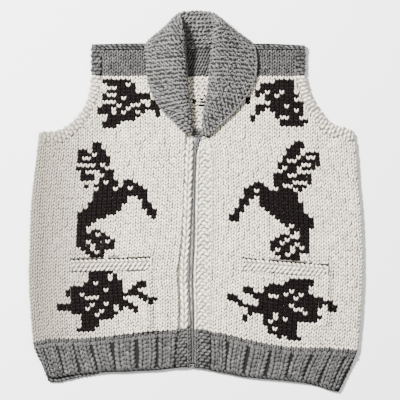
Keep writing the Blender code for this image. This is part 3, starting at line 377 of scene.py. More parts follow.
cream = yarnMaterial("creamHandspunWool")
dark = yarnMaterial("darkHandspunWool")
grey = yarnMaterial("greyMarledWool")
# The collar is of the same grey wool as the yokes; its copy is paler, which paints light onto the collar's
# garter
collarGreyLit = yarnMaterial("greyMarledWoolPaintedLighter")
creamShade = shadedWool("creamWoolPaintedShade", "#5f5b53", "#7b766c")
greyShade = shadedWool("greyWoolPaintedShade", "#0e0e0e", "#1a1a19")
collarShade = shadedWool("collarWoolPaintedShade", "#171717", "#262625")
darkShade = shadedWool("darkWoolGround", "#0d0a09", "#171211")
tape = tapeMaterial("#858785", "#a3a5a2")
coil = coilMaterial("#4a4b49", "#666765")
metal = metalMaterial("#c9cacc", 0.18, 0.30)
print("materials ready")


# Whether a part is knitted in grey
def isGrey(node):
    return node == "collar" or any(word in node for word in ("yoke", "hem", "grey", "seam"))


# Material of the cloth under a node's strands: wool in painted shade, or the zip's own tape
def groundOf(node):
    if node.startswith("zip_tape"):
        return tape
    if node == "collar":
        return collarShade
    return greyShade if isGrey(node) else creamShade


# A mesh as a piece of a body, in one material and slot
def asPiece(mesh, material, body="vest"):
    mesh.materials.clear()
    mesh.materials.append(material)
    piece = bpy.data.objects.new(mesh.name, mesh)
    bpy.context.scene.collection.objects.link(piece)
    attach(piece, body)
    return piece


# A bmesh made on a solid's form, as the smooth piece that takes the solid's place
def standIn(node, suffix, bm, material, body="vest"):
    mesh = bpy.data.meshes.new(node + suffix)
    bm.to_mesh(mesh)
    bm.free()
    piece = asPiece(mesh, material, body)
    for face in mesh.polygons:
        face.use_smooth = True
        face.material_index = 0
    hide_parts(node)
    return piece


# One strand is a closed tapered bar on a three-point curve: (place along it, size) and a domed section
shapes = {
    "fine": {"rings": [(0.07, 0.58), (0.33, 1.0), (0.67, 0.97), (0.93, 0.54)],
             "section": [(1.0, -0.35), (0.76, 0.62), (0.0, 1.0), (-0.76, 0.62), (-1.0, -0.35)]},
    "plain": {"rings": [(0.16, 0.9), (0.8, 0.86)],
              "section": [(1.0, -0.3), (0.55, 0.85), (-0.55, 0.85), (-1.0, -0.3)]},
}
# Painted shade stored on each strand: how dark its sides are, how fast that grows towards the section's
# edge, what the tips add and how long a tip is
flankShade = {"side": 0.7, "curve": 1.5, "tip": 0.5, "tipLength": 0.1}
tableClear = 0.02 * mm  # least height of a strand, so that none goes into the table


# Joined mesh of many strands. Each is start, middle, end, outward normal, half width, half height
def strandMesh(name, strands, material, shape="fine", body="vest"):
    rings, section = shapes[shape]["rings"], shapes[shape]["section"]
    strands = [s for s in strands if s is not None]
    count = len(strands)
    data = np.array([[*s[0], *s[1], *s[2], *s[3], s[4], s[5]] for s in strands])
    start, middle, end, outward = data[:, 0:3], data[:, 3:6], data[:, 6:9], data[:, 9:12]
    wide, high = data[:, 12], data[:, 13]
    sides = len(section)
    perStrand = len(rings) * sides + 2
    points = np.zeros((count, perStrand, 3))
    lay = np.zeros((count, perStrand, 3))
    # painted shade at each point of a strand, which the yarn's material lays on as its flank
    shade = np.zeros((perStrand, 3))
    shade[[0, -1], 0] = 1.0
    length = np.linalg.norm(end - start, axis=1)
    lay[:, :, 2] = rng.random(count)[:, None]
    points[:, 0] = start
    points[:, -1] = end
    lay[:, -1, 0] = length
    for r, (t, size) in enumerate(rings):
        centre = start * ((1 - t) * (1 - 2 * t)) + middle * (4 * t * (1 - t)) + end * (t * (2 * t - 1))
        ahead = start * (4 * t - 3) + middle * (4 - 8 * t) + end * (4 * t - 1)
        sideways = np.cross(ahead, outward)
        sideways /= np.linalg.norm(sideways, axis=1)[:, None]
        up = np.cross(sideways, ahead)
        up /= np.linalg.norm(up, axis=1)[:, None]
        tip = min(t, 1.0 - t) < flankShade["tipLength"]
        for k, (sx, sy) in enumerate(section):
            at = 1 + r * sides + k
            points[:, at] = (centre + sideways * (wide * sx * size)[:, None]
                             + up * (high * sy * size)[:, None])
            lay[:, at, 0] = t * length
            lay[:, at, 1] = sx
            flank = flankShade["side"] * abs(sx) ** flankShade["curve"]
            shade[at, 0] = min(flank + (flankShade["tip"] if tip else 0.0), 1.0)
    points[:, :, 2] = np.maximum(points[:, :, 2], tableClear)  # flat where it rests on the table
    quads = []
    for r in range(len(rings) - 1):
        for k in range(sides):
            a, b = 1 + r * sides + k, 1 + r * sides + (k + 1) % sides
            quads.append((a, b, b + sides, a + sides))
    caps = []
    last = perStrand - 1
    for k in range(sides):
        n = (k + 1) % sides
        caps.append((0, 1 + n, 1 + k))
        caps.append((last, last - sides + k, last - sides + n))
    first = (np.arange(count) * perStrand)[:, None]
    quadLoops = (first + np.array(quads).reshape(1, -1)).reshape(-1)
    capLoops = (first + np.array(caps).reshape(1, -1)).reshape(-1)
    mesh = bpy.data.meshes.new(name)
    mesh.vertices.add(count * perStrand)
    mesh.vertices.foreach_set("co", points.reshape(-1))
    mesh.loops.add(len(quadLoops) + len(capLoops))
    mesh.loops.foreach_set("vertex_index", np.concatenate([quadLoops, capLoops]).astype(np.int32))
    starts = np.concatenate([np.arange(0, len(quadLoops), 4),
                             len(quadLoops) + np.arange(0, len(capLoops), 3)]).astype(np.int32)
    mesh.polygons.add(len(starts))
    mesh.polygons.foreach_set("loop_start", starts)
    mesh.polygons.foreach_set("use_smooth", np.ones(len(starts), bool))
    mesh.update(calc_edges=True)
    mesh.attributes.new("lay", "FLOAT_VECTOR", "POINT").data.foreach_set("vector", lay.reshape(-1))
    shades = np.tile(shade, (count, 1)).reshape(-1)
    mesh.attributes.new("shade", "FLOAT_VECTOR", "POINT").data.foreach_set("vector", shades)
    return asPiece(mesh, material, body)


# Nodes whose cloth has creases
creased = {"front_left", "front_right", "back"}
# Pocket welts as the solids have them: middle, width and tilt, then how far up the slit's upper edge is
slits = {"front_left": (110.6, 264.8, 81.0, 1.4), "front_right": (284.6, 267.8, 86.0, -4.6)}
slitEdge = 7.7  # in plan units from the welt's middle


# Directions along a welt and up from it, by its tilt
def weltWays(tilt):
    turn = math.radians(tilt)
    return np.array([math.cos(turn), -math.sin(turn)]), np.array([-math.sin(turn), -math.cos(turn)])


# A strand's end, kept off the pocket slit where its middle lies above it
def aboveSlit(slit, middle, point):
    x, y, width, tilt = slit
    ahead, above = weltWays(tilt)
    inner, outer = np.array(middle) - (x, y), np.array(point) - (x, y)
    rise = float(outer @ above)
    if abs(inner @ ahead) < 0.5 * width + 1.0 and inner @ above > slitEdge > rise:
        return np.array(point) + above * (slitEdge - rise)
    return point


# How strands sit: depth in strand heights, the steepest slope they follow, and where slopes are measured
seat = {"sunk": 0.85, "steepest": 0.5, "probe": 1.5}


# A strand over three plan points, seated on a solid's face. wide is in plan units, high in metres
def strand(node, a, m, b, wide, high, sinks=(0.55, 0.0, 0.75), below=False, raised=0.0):
    hit = touch(node, m[0], m[1], below)
    if hit is None:
        return None
    z, normal = hit
    if node in slits:
        a, b = (aboveSlit(slits[node], m, p) for p in (a, b))
    out = -1.0 if below else 1.0
    level = z + out * (raised - high * seat["sunk"])
    rise = [0.0, 0.0, 0.0]
    tilted = normal
    if node in creased:
        side, d = "back" if below else "front", seat["probe"]
        rise = [creaseAt(p[0], p[1], side) for p in (a, m, b)]
        slopeX = creaseAt(m[0] + d, m[1], side) - creaseAt(m[0] - d, m[1], side)
        slopeY = creaseAt(m[0], m[1] - d, side) - creaseAt(m[0], m[1] + d, side)
        tilted = normal + Vector((-slopeX, -slopeY, 0.0)) / (2.0 * d * planUnit)
    steep = math.copysign(max(abs(normal.z), seat["steepest"]), normal.z)
    placed = []
    for p, sink, up in zip((a, m, b), sinks, rise):
        way = world(p[0], p[1]) - world(m[0], m[1])
        lift = -(normal.x * way.x + normal.y * way.y) / steep
        placed.append(world(p[0], p[1], level + lift + out * (up - high * sink)))
    return (*placed, tilted.normalized(), wide * planUnit, high)


# Strands of one stitch, each start, middle and end: across in stitch widths, along in stitch heights
stitches = {
    "vee": [((-0.04, -0.84), (-0.24, -0.05), (-0.47, 0.60)), ((0.04, -0.84), (0.24, -0.05), (0.47, 0.60))],
    "slant": [((-0.42, -0.55), (0.0, 0.0), (0.42, 0.55))],
    "cord": [((0.0, -0.75), (0.0, 0.0), (0.0, 0.75))],
    "stroke": [((0.52, -0.62), (0.04, 0.0), (-0.52, 0.62))],
}
# Plain knit: strand width in stitch widths, height in metres, and how uneven the hand is
knit = {"wide": 0.235, "high": 2.2 * mm, "jitter": 0.055, "drawn": 0.03, "thick": 0.08}
# Dark ground under a motif's stitches, which closes the gaps between them
ground = {"reach": 0.95, "wide": 0.56, "high": 0.7 * mm, "raised": -1.1 * mm}


# Strands of plain knit by solid and colour. place gives plan x, y at a column and row
def plainKnit(place, columns, rows, nodes, side, below=False, high=knit["high"]):
    found = {}
    for j in rows:
        node = nodes(j)
        for k in columns:
            centre = np.array(place(k + 0.5, j + 0.5))
            right = np.array(place(k + 1, j + 0.5)) - np.array(place(k, j + 0.5))
            up = np.array(place(k + 0.5, j + 1)) - np.array(place(k + 0.5, j))
            width = float(np.hypot(*right))
            motif = node in creased and isDark(side, *centre)
            shift = right * rng.normal(0, knit["jitter"]) + up * rng.normal(0, knit["jitter"])
            for shape in stitches["vee"]:
                a, m, b = (centre + shift + right * x + up * y * (1 + rng.normal(0, knit["drawn"]))
                           for x, y in shape)
                wide = knit["wide"] * width * (1 + rng.normal(0, knit["thick"]))
                found.setdefault((node, motif), []).append(strand(node, a, m, b, wide, high, below=below))
            if motif and not below:
                a, m, b = (centre + up * y for y in (-ground["reach"], 0.0, ground["reach"]))
                found.setdefault((node, "ground"), []).append(
                    strand(node, a, m, b, ground["wide"] * width, ground["high"], (0, 0, 0),
                           raised=ground["raised"]))
    return found


# Line between two lines of the pattern
def between(one, other, fraction):
    return [alongLine(one, t) * (1 - fraction) + alongLine(other, t) * fraction
            for t in np.linspace(0.0, 1.0, 25)]


# Stitches in single file along a line of the plan. pitch, across and wide are in plan units
def laneOf(node, line, pitch, across, kind, wide, high, below=False, shift=0.0):
    fine = np.array(line, float)
    walk = walked(fine)
    count = max(int(round(walk[-1] / pitch)), 1)
    step = walk[-1] / count
    found = []
    for i in range(count):
        middle = (i + 0.5 + shift) * step
        centre = pointAt(fine, walk, middle) + rng.normal(0, 0.03 * pitch, 2)
        ahead = (pointAt(fine, walk, min(middle + pitch, walk[-1]))
                 - pointAt(fine, walk, max(middle - pitch, 0.0)))
        ahead /= np.linalg.norm(ahead)
        right = np.array([-ahead[1], ahead[0]])
        for shape in stitches[kind]:
            a, m, b = (centre + right * (x * across) + ahead * (y * step) for x, y in shape)
            found.append(strand(node, a, m, b, wide * (1 + rng.normal(0, 0.05)), high, below=below))
    return found


# Cloth under the strands, in metres: how far inside the solid it lies above, below and on the collar, and at
# most which share of its depth; its longest edge, and the crease height above which edges are halved
shell = {"inset": 2.1 * mm, "insetBelow": 1.2 * mm, "insetCollar": 1.8 * mm, "share": 0.4, "edge": 8.0 * mm,
         "steep": 1.1 * mm, "passes": 4, "facing": 0.3}


# Plan point under a point of the shared frame
def planOf(co):
    return co.x / planUnit + planCentre[0], planCentre[1] - co.y / planUnit


# Longest edge that the cloth may have at an edge's middle
def longestEdge(node, edge):
    middle = (edge.verts[0].co + edge.verts[1].co) / 2
    steep = node in creased and abs(creaseAt(*planOf(middle))) > shell["steep"]
    return shell["edge"] * (0.5 if steep else 1.0)


# Where a point of the solid goes in its cloth
def clothPoint(node, v):
    if node == "collar":
        return v.co - v.normal * shell["insetCollar"]
    px, py = planOf(v.co)
    top, low = touch(node, px, py), touch(node, px, py, True)
    drop = min(shell["inset"], shell["share"] * (top[0] - low[0]) if top and low else 0.0)
    up = 0.0
    if v.normal.z > shell["facing"]:
        up = (creaseAt(px, py) if node in slits else 0.0) - drop
    elif v.normal.z < -shell["facing"]:
        up = min(drop, shell["insetBelow"]) - (creaseAt(px, py, "back") if node == "back" else 0.0)
    return v.co + Vector((0, 0, up))


# Cloth on a solid's form, a little inside it, with the creases in its outer face
def clothShell(node):
    bm = bmesh.new()
    bm.from_mesh(frame["nodes"][node].data)
    bmesh.ops.remove_doubles(bm, verts=bm.verts, dist=0.01 * mm)
    for _ in range(shell["passes"]):
        long = [e for e in bm.edges if e.calc_length() > longestEdge(node, e)]
        if not long:
            break
        bmesh.ops.subdivide_edges(bm, edges=long, cuts=1)
        bmesh.ops.triangulate(bm, faces=bm.faces)
    bm.normal_update()
    moves = [clothPoint(node, v) for v in bm.verts]
    for v, co in zip(bm.verts, moves):
        v.co = co
    return standIn(node, "Cloth", bm, groundOf(node))


# Motifs, drawn as outlines, strokes and single light stitches round a centre; x to the right
motifs = {
    "bird": {
        "shapes": [
            [(-32, -51), (-22, -51), (-18, -45), (-16, -57), (-11, -60), (-5, -54), (0, -44), (4, -38),
             (3, -31), (7, -26), (8, -14), (9, -6), (-3, 0), (-14, -7), (-24, -15), (-28, -23), (-29, -31),
             (-34, -32)],
            [(-15, -11), (9, -11), (17, -20), (25, -22), (31, -16), (37, -12), (38, -2), (43, 6), (48, 10),
             (48, 19), (41, 19), (40, 12), (36, 8), (32, 1), (25, -6), (17, -1), (14, 7), (0, 16),
             (-10, 20), (-18, 25), (-22, 51), (-30, 51), (-30, 27), (-34, 24), (-32, 16), (-19, 4)],
            [(-24, 49), (-22, 36), (-13, 26), (-6, 31), (1, 37), (8, 41), (7, 46), (-1, 49), (-5, 57),
             (-19, 57)]],
        "strokes": [((-27, -41), (-20, -42)), ((-29, -34), (-15, -34)), ((-22, -27), (-6, -27)),
                    ((-25, -19), (-12, -20)), ((-19, -13), (-9, -12)), ((-23, 44), (-19, 41))],
        "spots": [(-13, -45), (-8, -37), (1, -31), (-4, -18), (6, -11), (24, -12), (-18, 28), (-18, 32),
                  (-11, 35), (-2, 41), (-14, 45), (-14, 48), (-9, 52)]},
    "secondBird": {
        "shapes": [
            [(18, -60), (9, -58), (4, -51), (-4, -41), (-4, -31), (-11, -25), (-12, -8), (14, -8),
             (22, -15), (29, -22), (28, -32), (34, -36), (34, -51), (24, -50), (19, -45)],
            [(-9, -9), (-17, -16), (-23, -20), (-31, -19), (-41, -12), (-41, -4), (-46, 2), (-48, 9),
             (-53, 12), (-53, 21), (-47, 20), (-45, 12), (-41, 9), (-40, 4), (-35, 1), (-28, -6), (-22, 5),
             (-13, 14), (-1, 21), (9, 31), (16, 53), (25, 53), (25, 29), (30, 26), (31, 17), (23, 13),
             (18, 3), (13, -2), (13, -10)],
            [(10, 24), (4, 31), (-6, 35), (-16, 43), (-14, 48), (-8, 53), (-1, 60), (16, 60), (18, 51),
             (17, 28)]],
        "strokes": [((8, -41), (17, -45)), ((21, -42), (28, -43)), ((16, -35), (27, -36)),
                    ((-4, -32), (4, -35)), ((5, -28), (24, -28)), ((10, -20), (24, -20)),
                    ((-1, -17), (13, -12))],
        "spots": [(7, -39), (-28, -12), (-10, -11), (8, 26), (13, 31), (13, 34), (7, 35), (3, 40), (-2, 43),
                  (-8, 47), (11, 41), (7, 47), (7, 50), (17, 47), (2, 54)]},
    "blossom": {
        "shapes": [
            [(-18, -24), (7, -24), (13, -20), (14, -13), (27, -11), (31, -3), (21, -4), (21, 0), (26, 3),
             (25, 9), (18, 11), (15, 14), (0, 15), (-3, 19), (-8, 24), (-22, 24), (-22, 19), (-17, 17),
             (-17, 9), (-26, 9), (-24, 3), (-20, -3), (-17, -13)],
            [(29, 0), (36, 0), (36, 5), (40, 5), (40, 11), (34, 11), (34, 6), (29, 6)]],
        "strokes": [((-18, -4), (-9, -3)), ((-14, -11), (-8, -10)), ((-17, -17), (-7, -15))],
        "spots": [(6, -19), (0, -7), (19, -4), (-5, 2), (-10, 6), (-1, 9), (4, 5), (10, 2), (18, 2),
                  (18, 6)]},
    "secondBlossom": {
        "shapes": [
            [(-6, -23), (13, -23), (14, -12), (16, -6), (12, -5), (13, -1), (20, -2), (24, 5), (20, 7),
             (21, 13), (25, 16), (24, 21), (12, 22), (2, 22), (-3, 18), (-8, 13), (-9, 7), (-17, 5),
             (-19, 8), (-24, 12), (-28, 8), (-28, 1), (-18, 0), (-18, -9), (-23, -6), (-27, -5), (-27, -13),
             (-22, -13), (-21, -19)],
            [(-37, -5), (-29, -5), (-29, 2), (-35, 2)],
            [(-33, 11), (-27, 11), (-27, 17), (-33, 17)]],
        "strokes": [],
        "spots": [(1, -12), (-4, -9), (-15, -11), (-15, -1), (4, 4), (13, 8), (-1, 13), (4, 15), (22, 15)]},
    "leafFlower": {
        "shapes": [
            [(-12, -30), (14, -30), (20, -26), (25, -19), (25, -12), (28, -6), (28, 3), (26, 11), (19, 14),
             (15, 19), (6, 19), (2, 24), (-2, 30), (-18, 30), (-16, 14), (-29, 11), (-36, 10), (-40, 7),
             (-39, 2), (-28, 4), (-27, -4), (-31, -9), (-26, -14), (-16, -13), (-8, -19), (-7, -26)],
            [(25, -9), (31, -9), (35, -13), (40, -11), (47, -6), (60, -3), (58, 5), (49, 1), (40, -4),
             (28, -5)],
            [(25, 1), (31, 0), (39, 5), (43, 9), (40, 12), (34, 8), (27, 5)],
            [(37, -12), (39, -18), (46, -21), (50, -18), (49, -15), (43, -12)]],
        "strokes": [((-10, -3), (2, -3))],
        "spots": [(1, -17), (11, -12), (13, -25), (16, -22), (-14, -7), (-4, 4), (-9, 9), (6, 9), (0, 14),
                  (10, 4), (20, 4), (20, 8)]},
    "secondFlower": {
        "shapes": [
            [(9, -32), (20, -28), (28, -28), (27, -23), (21, -22), (20, -17), (25, -12), (33, -12), (33, 9),
             (27, 13), (11, 12), (7, 17), (14, 31), (2, 31), (-2, 28), (-10, 29), (-18, 24), (-24, 16),
             (-28, 4), (-27, -16), (-15, -27), (-6, -24), (2, -29)],
            [(32, -12), (40, -9), (48, -4), (48, 4), (42, 3), (40, -3), (32, -6)],
            [(-58, -15), (-51, -13), (-44, -7), (-36, -5), (-24, -4), (-24, 4), (-36, 5), (-40, 10),
             (-47, 13), (-46, 7), (-39, 2), (-44, -2), (-51, -6), (-58, -9)],
            [(-42, -21), (-37, -21), (-31, -15), (-26, -13), (-26, -7), (-32, -10), (-42, -17)]],
        "strokes": [],
        "spots": [(-18, -14), (-3, -15), (-9, -11), (3, -19), (13, -13), (7, -9), (2, -2), (8, 0), (14, 0),
                  (17, 4), (-10, 5), (-10, 8), (-1, 11), (-16, 12), (-11, 19), (33, 2), (32, 6)]},
}
# Where the motifs are, with their centres in plan units
placed = {
    "left": [("blossom", 122, 104), ("bird", 108, 200), ("leafFlower", 96, 300)],
    "right": [("secondBlossom", 281, 103), ("secondBird", 283.5, 201), ("secondFlower", 287, 308)],
    "back": [("blossom", 199, 106)],
}
# How far a motif reaches from its centre, and half the width and height of a light spot, in plan units
motifReach = 62
spotHalf = (2.42, 1.8)


# Whether a point lies inside a closed outline
def inside(shape, x, y):
    odd = False
    for (x0, y0), (x1, y1) in zip(shape, shape[1:] + shape[:1]):
        if (y0 > y) != (y1 > y) and x < (x1 - x0) * (y - y0) / (y1 - y0) + x0:
            odd = not odd
    return odd


# Whether the stitch at a plan point is in the dark yarn
def isDark(side, px, py):
    wide, high = spotHalf
    for name, cx, cy in placed[side]:
        x, y, motif = px - cx, py - cy, motifs[name]
        if max(abs(x), abs(y)) > motifReach or not any(inside(shape, x, y) for shape in motif["shapes"]):
            continue
        light = any(abs(x - sx) < wide and abs(y - sy) < high for sx, sy in motif["spots"])
        for (x0, y0), (x1, y1) in motif["strokes"]:
            if min(x0, x1) - 1 <= x <= max(x0, x1) + 1:
                light = light or abs(y - y0 - (y1 - y0) * (x - x0) / (x1 - x0)) < high
        if not light:
            return True
    return False


# Bumps of garter or purl knit: half length in stitch widths, how near an edge they may end, the arch and
# the sinking of their ends, and how uneven the hand is
garter = {"reach": 0.60, "edge": 0.03, "foot": -0.22, "crown": 0.20, "sinks": (0.7, 0.0, 0.7),
          "uneven": 0.08,
          "thick": 0.07}


# Bumps between two lines, in rows across them, every other row half a stitch aside. tilt leans every bump,
# zigzag leans neighbours opposite ways
def garterPatch(node, one, other, count, pitch, wide, high, below=False, raised=0.0, tilt=0.12, zigzag=0.0):
    length = walked(one)[-1]
    rows = max(int(round(length / pitch)), 1)
    reach, edge = garter["reach"] / count, garter["edge"]
    arch = ((-1, garter["foot"]), (0, garter["crown"]), (1, garter["foot"]))
    found = []
    for r in range(rows):
        t = (r + 0.5) / rows
        near, far = alongLine(one, t), alongLine(other, t)
        ahead = alongLine(one, min(t + 0.5 / rows, 1.0)) - alongLine(one, max(t - 0.5 / rows, 0.0))
        ahead = ahead / np.linalg.norm(ahead) * length / rows
        for k in range(count + (r % 2)):
            f = (k + 0.5 - 0.5 * (r % 2)) / count
            lean = tilt + zigzag * (-1) ** k + rng.normal(0, garter["uneven"])
            shift = ahead * rng.normal(0, garter["uneven"])
            a, m, b = (near + (far - near) * min(max(f + x * reach, edge), 1 - edge) + shift
                       + ahead * (y + x * lean) for x, y in arch)
            size = 1 + rng.normal(0, garter["thick"])
            found.append(strand(node, a, m, b, wide * size, high, garter["sinks"], below, raised))
    return found


rowsOfBody = 75
yokeRow = 3.25  # height of a row of the yokes in plan units
# Cut of the fronts and the back: stitch columns run from the first line to the second, gap short of it, and
# widen a little on the way
cuts = {
    "left": {"first": leftSide, "second": leftBandBody, "hem": leftHemTop, "columns": 31, "gap": 1.3,
             "widen": 0.06},
    "right": {"first": rightSide, "second": rightBandBody, "hem": rightHemTop, "columns": 30, "gap": -0.3,
              "widen": 0.06},
    "back": {"first": leftSide, "second": rightSide, "hem": backHemTop, "columns": 63, "gap": 0.0,
             "widen": 0.0},
}


# Plan point of a column and row of a cut
def placeIn(side):
    cut = cuts[side]
    first, second = cut["first"], cut["second"]

    def place(k, j):
        u = k / cut["columns"]
        u = (1 - cut["widen"]) * u + cut["widen"] * u * u
        foot = heightAt(cut["hem"], first[0][0] + (second[0][0] - first[0][0]) * u)
        y = foot + (yokeLine - foot) * j / rowsOfBody
        if j > rowsOfBody:
            y = yokeLine - (j - rowsOfBody) * yokeRow
        return acrossAt(first, y) * (1 - u) + (acrossAt(second, y) - cut["gap"]) * u, y

    return place


pieces = {}


# Strands as a piece of a node, in the yarn that its name tells when none is given
def addPiece(node, suffix, strands, yarn=None, shape="fine"):
    yarn = yarn or (collarGreyLit if node == "collar" else grey if isGrey(node) else cream)
    pieces.setdefault(node, []).append(strandMesh(node + suffix, strands, yarn, shape))


for side in ("left", "right"):
    names = {-1: "hem_", 0: "front_", 1: "yoke_"}
    found = plainKnit(placeIn(side), range(cuts[side]["columns"]), range(-2, rowsOfBody + 8),
                      lambda j: names[-1 if j < 0 else 1 if j >= rowsOfBody else 0] + side, side)
    for (node, kind), strands in found.items():
        if kind == "ground":
            addPiece(node, "MotifGround", strands, darkShade, "plain")
        elif kind:
            addPiece(node, "Motif", strands, dark)
        else:
            addPiece(node, "Knit", strands)
print("fronts knitted")

# Back, whose right side lies on the table
found = plainKnit(placeIn("back"), range(cuts["back"]["columns"]), range(rowsOfBody + 9),
                  lambda j: "back" if j < rowsOfBody else "back_yoke", "back", True, 1.0 * mm)
for (node, motif), strands in found.items():
    addPiece(node, "Motif" if motif else "Knit", strands, dark if motif else None, "plain")
# Purl side of the back, seen through the neck: part, two edge lines and stitches across. The last patch is
# in the collar's grey, between its tips
insides = [
    ("back_yoke", [(178, 75), (178, 49)], [(222, 75), (222, 49)], 15),
    ("back", [(178, 128.5), (178, 76)], [(222, 128.5), (222, 76)], 15),
    ("back", [(183, 142), (183, 128)], [(193, 142), (190.5, 128)], 3),
    ("back", [(201, 142), (204, 130)], [(212, 142), (213, 130)], 3),
    ("collar", [(194.5, 139.5), (190.5, 129.5)], [(200.5, 139.5), (204.5, 129.5)], 3),
]
purl = {"back_yoke": {"pitch": 3.3, "wide": 1.25, "high": 1.5 * mm, "tilt": 0.55},
        "back": {"pitch": 3.2, "wide": 1.35, "high": 1.8 * mm, "zigzag": 0.5},
        "collar": {"pitch": 2.9, "wide": 1.5, "high": 2.2 * mm, "raised": 0.4 * mm}}
inner = {}
for node, one, other, count in insides:
    under = "back" if node == "collar" else node
    inner.setdefault(node, []).extend(garterPatch(under, one, other, count, **purl[node]))
for node, strands in inner.items():
    addPiece(node, "Inside", strands, cream if node == "back" else grey)
# Loose ends of the back's motif, which lie across its purl side
floats = [((203.6, 95.8), (207.2, 96.4)), ((198.8, 98.2), (202.8, 98.8)), ((191.8, 99.4), (196.4, 100.6)),
          ((192.2, 102.0), (195.4, 102.4)), ((199.4, 101.2), (206.4, 101.6)),
          ((196.8, 104.4), (206.8, 104.8)), ((203.0, 108.2), (206.4, 108.6)),
          ((203.4, 110.6), (206.0, 110.8))]
strands = []
for a, b in floats:
    middle = ((a[0] + b[0]) / 2, (a[1] + b[1]) / 2)
    strands.append(strand("back", a, middle, b, 1.05, 1.4 * mm, (0, 0, 0), raised=1.5 * mm))
addPiece("back", "Floats", strands, dark)
print("back knitted")

# Narrow knitted parts: solid, edge lines, garter bumps (from, to, count, pitch, strand, height in mm) and
# lanes (place across, kind, pitch, width, strand, height in mm)
narrow = [
    ("front_band_left", leftBandBody, leftBandZip, None, [(0.50, "vee", 6.6, 7.6, 1.75, 3.4)]),
    ("front_band_right", rightBandZip, rightBandBody, (0.23, 0.86, 2, 3.4, 1.95, 3.0),
     [(0.11, "cord", 6.0, 3.0, 1.35, 2.2), (0.93, "vee", 3.6, 2.9, 0.80, 1.8)]),
    ("hem_band_left", leftHemBand, leftHemZip, (0.02, 0.72, 2, 3.3, 1.9, 2.7),
     [(0.86, "vee", 3.7, 4.2, 1.05, 1.7)]),
    ("hem_band_right", rightHemZip, rightHemBand, (0.30, 1.0, 2, 3.3, 1.9, 2.7),
     [(0.16, "vee", 3.7, 4.4, 1.10, 1.7)]),
]
for face, top in (("front", 49.3), ("back", 48.0)):
    leftGrey = [(91.0, yokeLine), (91.1, top)], [(100.3, yokeLine), (100.3, top)]
    rightGrey = [(304, yokeLine), (304.5, top)], [(295.5, yokeLine), (295.8, top)]
    for name, one, other in (("left", leftArmFree, leftArmBody), ("right", rightArmFree, rightArmBody),
                             ("left_grey", *leftGrey), ("right_grey", *rightGrey)):
        narrow.append((f"armband_{face}_{name}", one, other, (0.0, 1.0, 2, 3.5, 2.0, 2.7), []))
for node, one, other, bumps, lanes in narrow:
    below = "back" in node
    unit = (0.6 if below else 1.0) * mm  # flatter where the vest rests on them
    strands = []
    if bumps:
        first, last, count, pitch, wide, high = bumps
        strands += garterPatch(node, between(one, other, first), between(one, other, last), count, pitch,
                               wide,
                               high * unit, below, zigzag=0.45 if node == "front_band_right" else 0.0)
    for at, kind, pitch, across, wide, high in lanes:
        strands += laneOf(node, between(one, other, at), pitch, across, kind, wide, high * unit, below)
    addPiece(node, "Knit", strands, shape="plain" if below else "fine")

# One more stitch closes the left band under the collar
strands = laneOf("front_band_left", [(189.4, 143.4), (189.2, 135.4)], 8.0, 5.6, "vee", 1.7, 3.4 * mm)
addPiece("front_band_left", "Top", strands)

# Ribbed hems: each rib is a knit column, a thin line, a second column and a thin line, then a groove; one
# narrower than least is a single column. Lanes: place across, kind, share of the rib's width, height in mm
rib = {"hemWidth": 146.0, "least": 10.0, "pitch": 4.2, "sway": 0.7, "bends": 5.5, "turn": 6.28,
       "lanes": [(0.26, "vee", 0.42, 2.9), (0.49, "cord", 0.09, 1.5), (0.71, "vee", 0.39, 2.9)],
       "single": [(0.5, "vee", 0.80, 2.7)], "strand": {"vee": 0.25, "cord": 0.5}, "backColumns": 34}


# Line up a hem at a fraction of its length, from its foot to its top
def upHem(foot, top, u, first, last, count):
    return [(v, alongLine(foot, u) * (1 - v) + alongLine(top, u) * v) for v in np.linspace(first, last,
                                                                                           count)]


for node, foot, top, grooves in (("hem_left", leftHemFoot, leftHemTop, leftGrooves),
                                 ("hem_right", rightHemFoot, rightHemTop, rightGrooves)):
    strands = []
    for a, b in zip(grooves, grooves[1:]):
        width = (b - a) * rib["hemWidth"]
        sway = rng.uniform(0, rib["turn"])
        for at, kind, share, high in rib["single" if width < rib["least"] else "lanes"]:
            line = [p + np.array([rib["sway"] * math.sin(rib["bends"] * v + sway), 0])
                    for v, p in upHem(foot, top, a + (b - a) * at, 0.08, 0.90, 13)]
            across = share * width
            strands += laneOf(node, line, rib["pitch"], across, kind, across * rib["strand"][kind],
                              high * mm)
    rim = [alongLine(foot, u) + np.array([0.0, -1.9]) for u in np.linspace(0.01, 0.99, 30)]
    strands += laneOf(node, rim, 4.4, 3.4, "slant", 1.35, 1.6 * mm)
    addPiece(node, "Ribs", strands)
strands = []
for k in range(rib["backColumns"]):
    line = [p for _, p in upHem(backHemFoot, backHemTop, (k + 0.5) / rib["backColumns"], 0.04, 0.97, 9)]
    strands += laneOf("hem_back", line, 3.6, 5.8, "vee", 1.5, 1.0 * mm, True)
addPiece("hem_back", "Ribs", strands, shape="plain")
strands = []
for line in ([(33.6, 345), (37.5, 354), (42.5, 363), (46.6, 375)],
             [(49, 379.6), (58, 380.4), (66, 378.2), (80, 375.2), (98, 372.2)],
             [(354, 353), (349.5, 366), (343, 379), (338.4, 388.8)]):
    strands += laneOf("hem_back", line, 4.0, 3.2, "slant", 1.4, 1.5 * mm)
addPiece("hem_back", "Rim", strands)

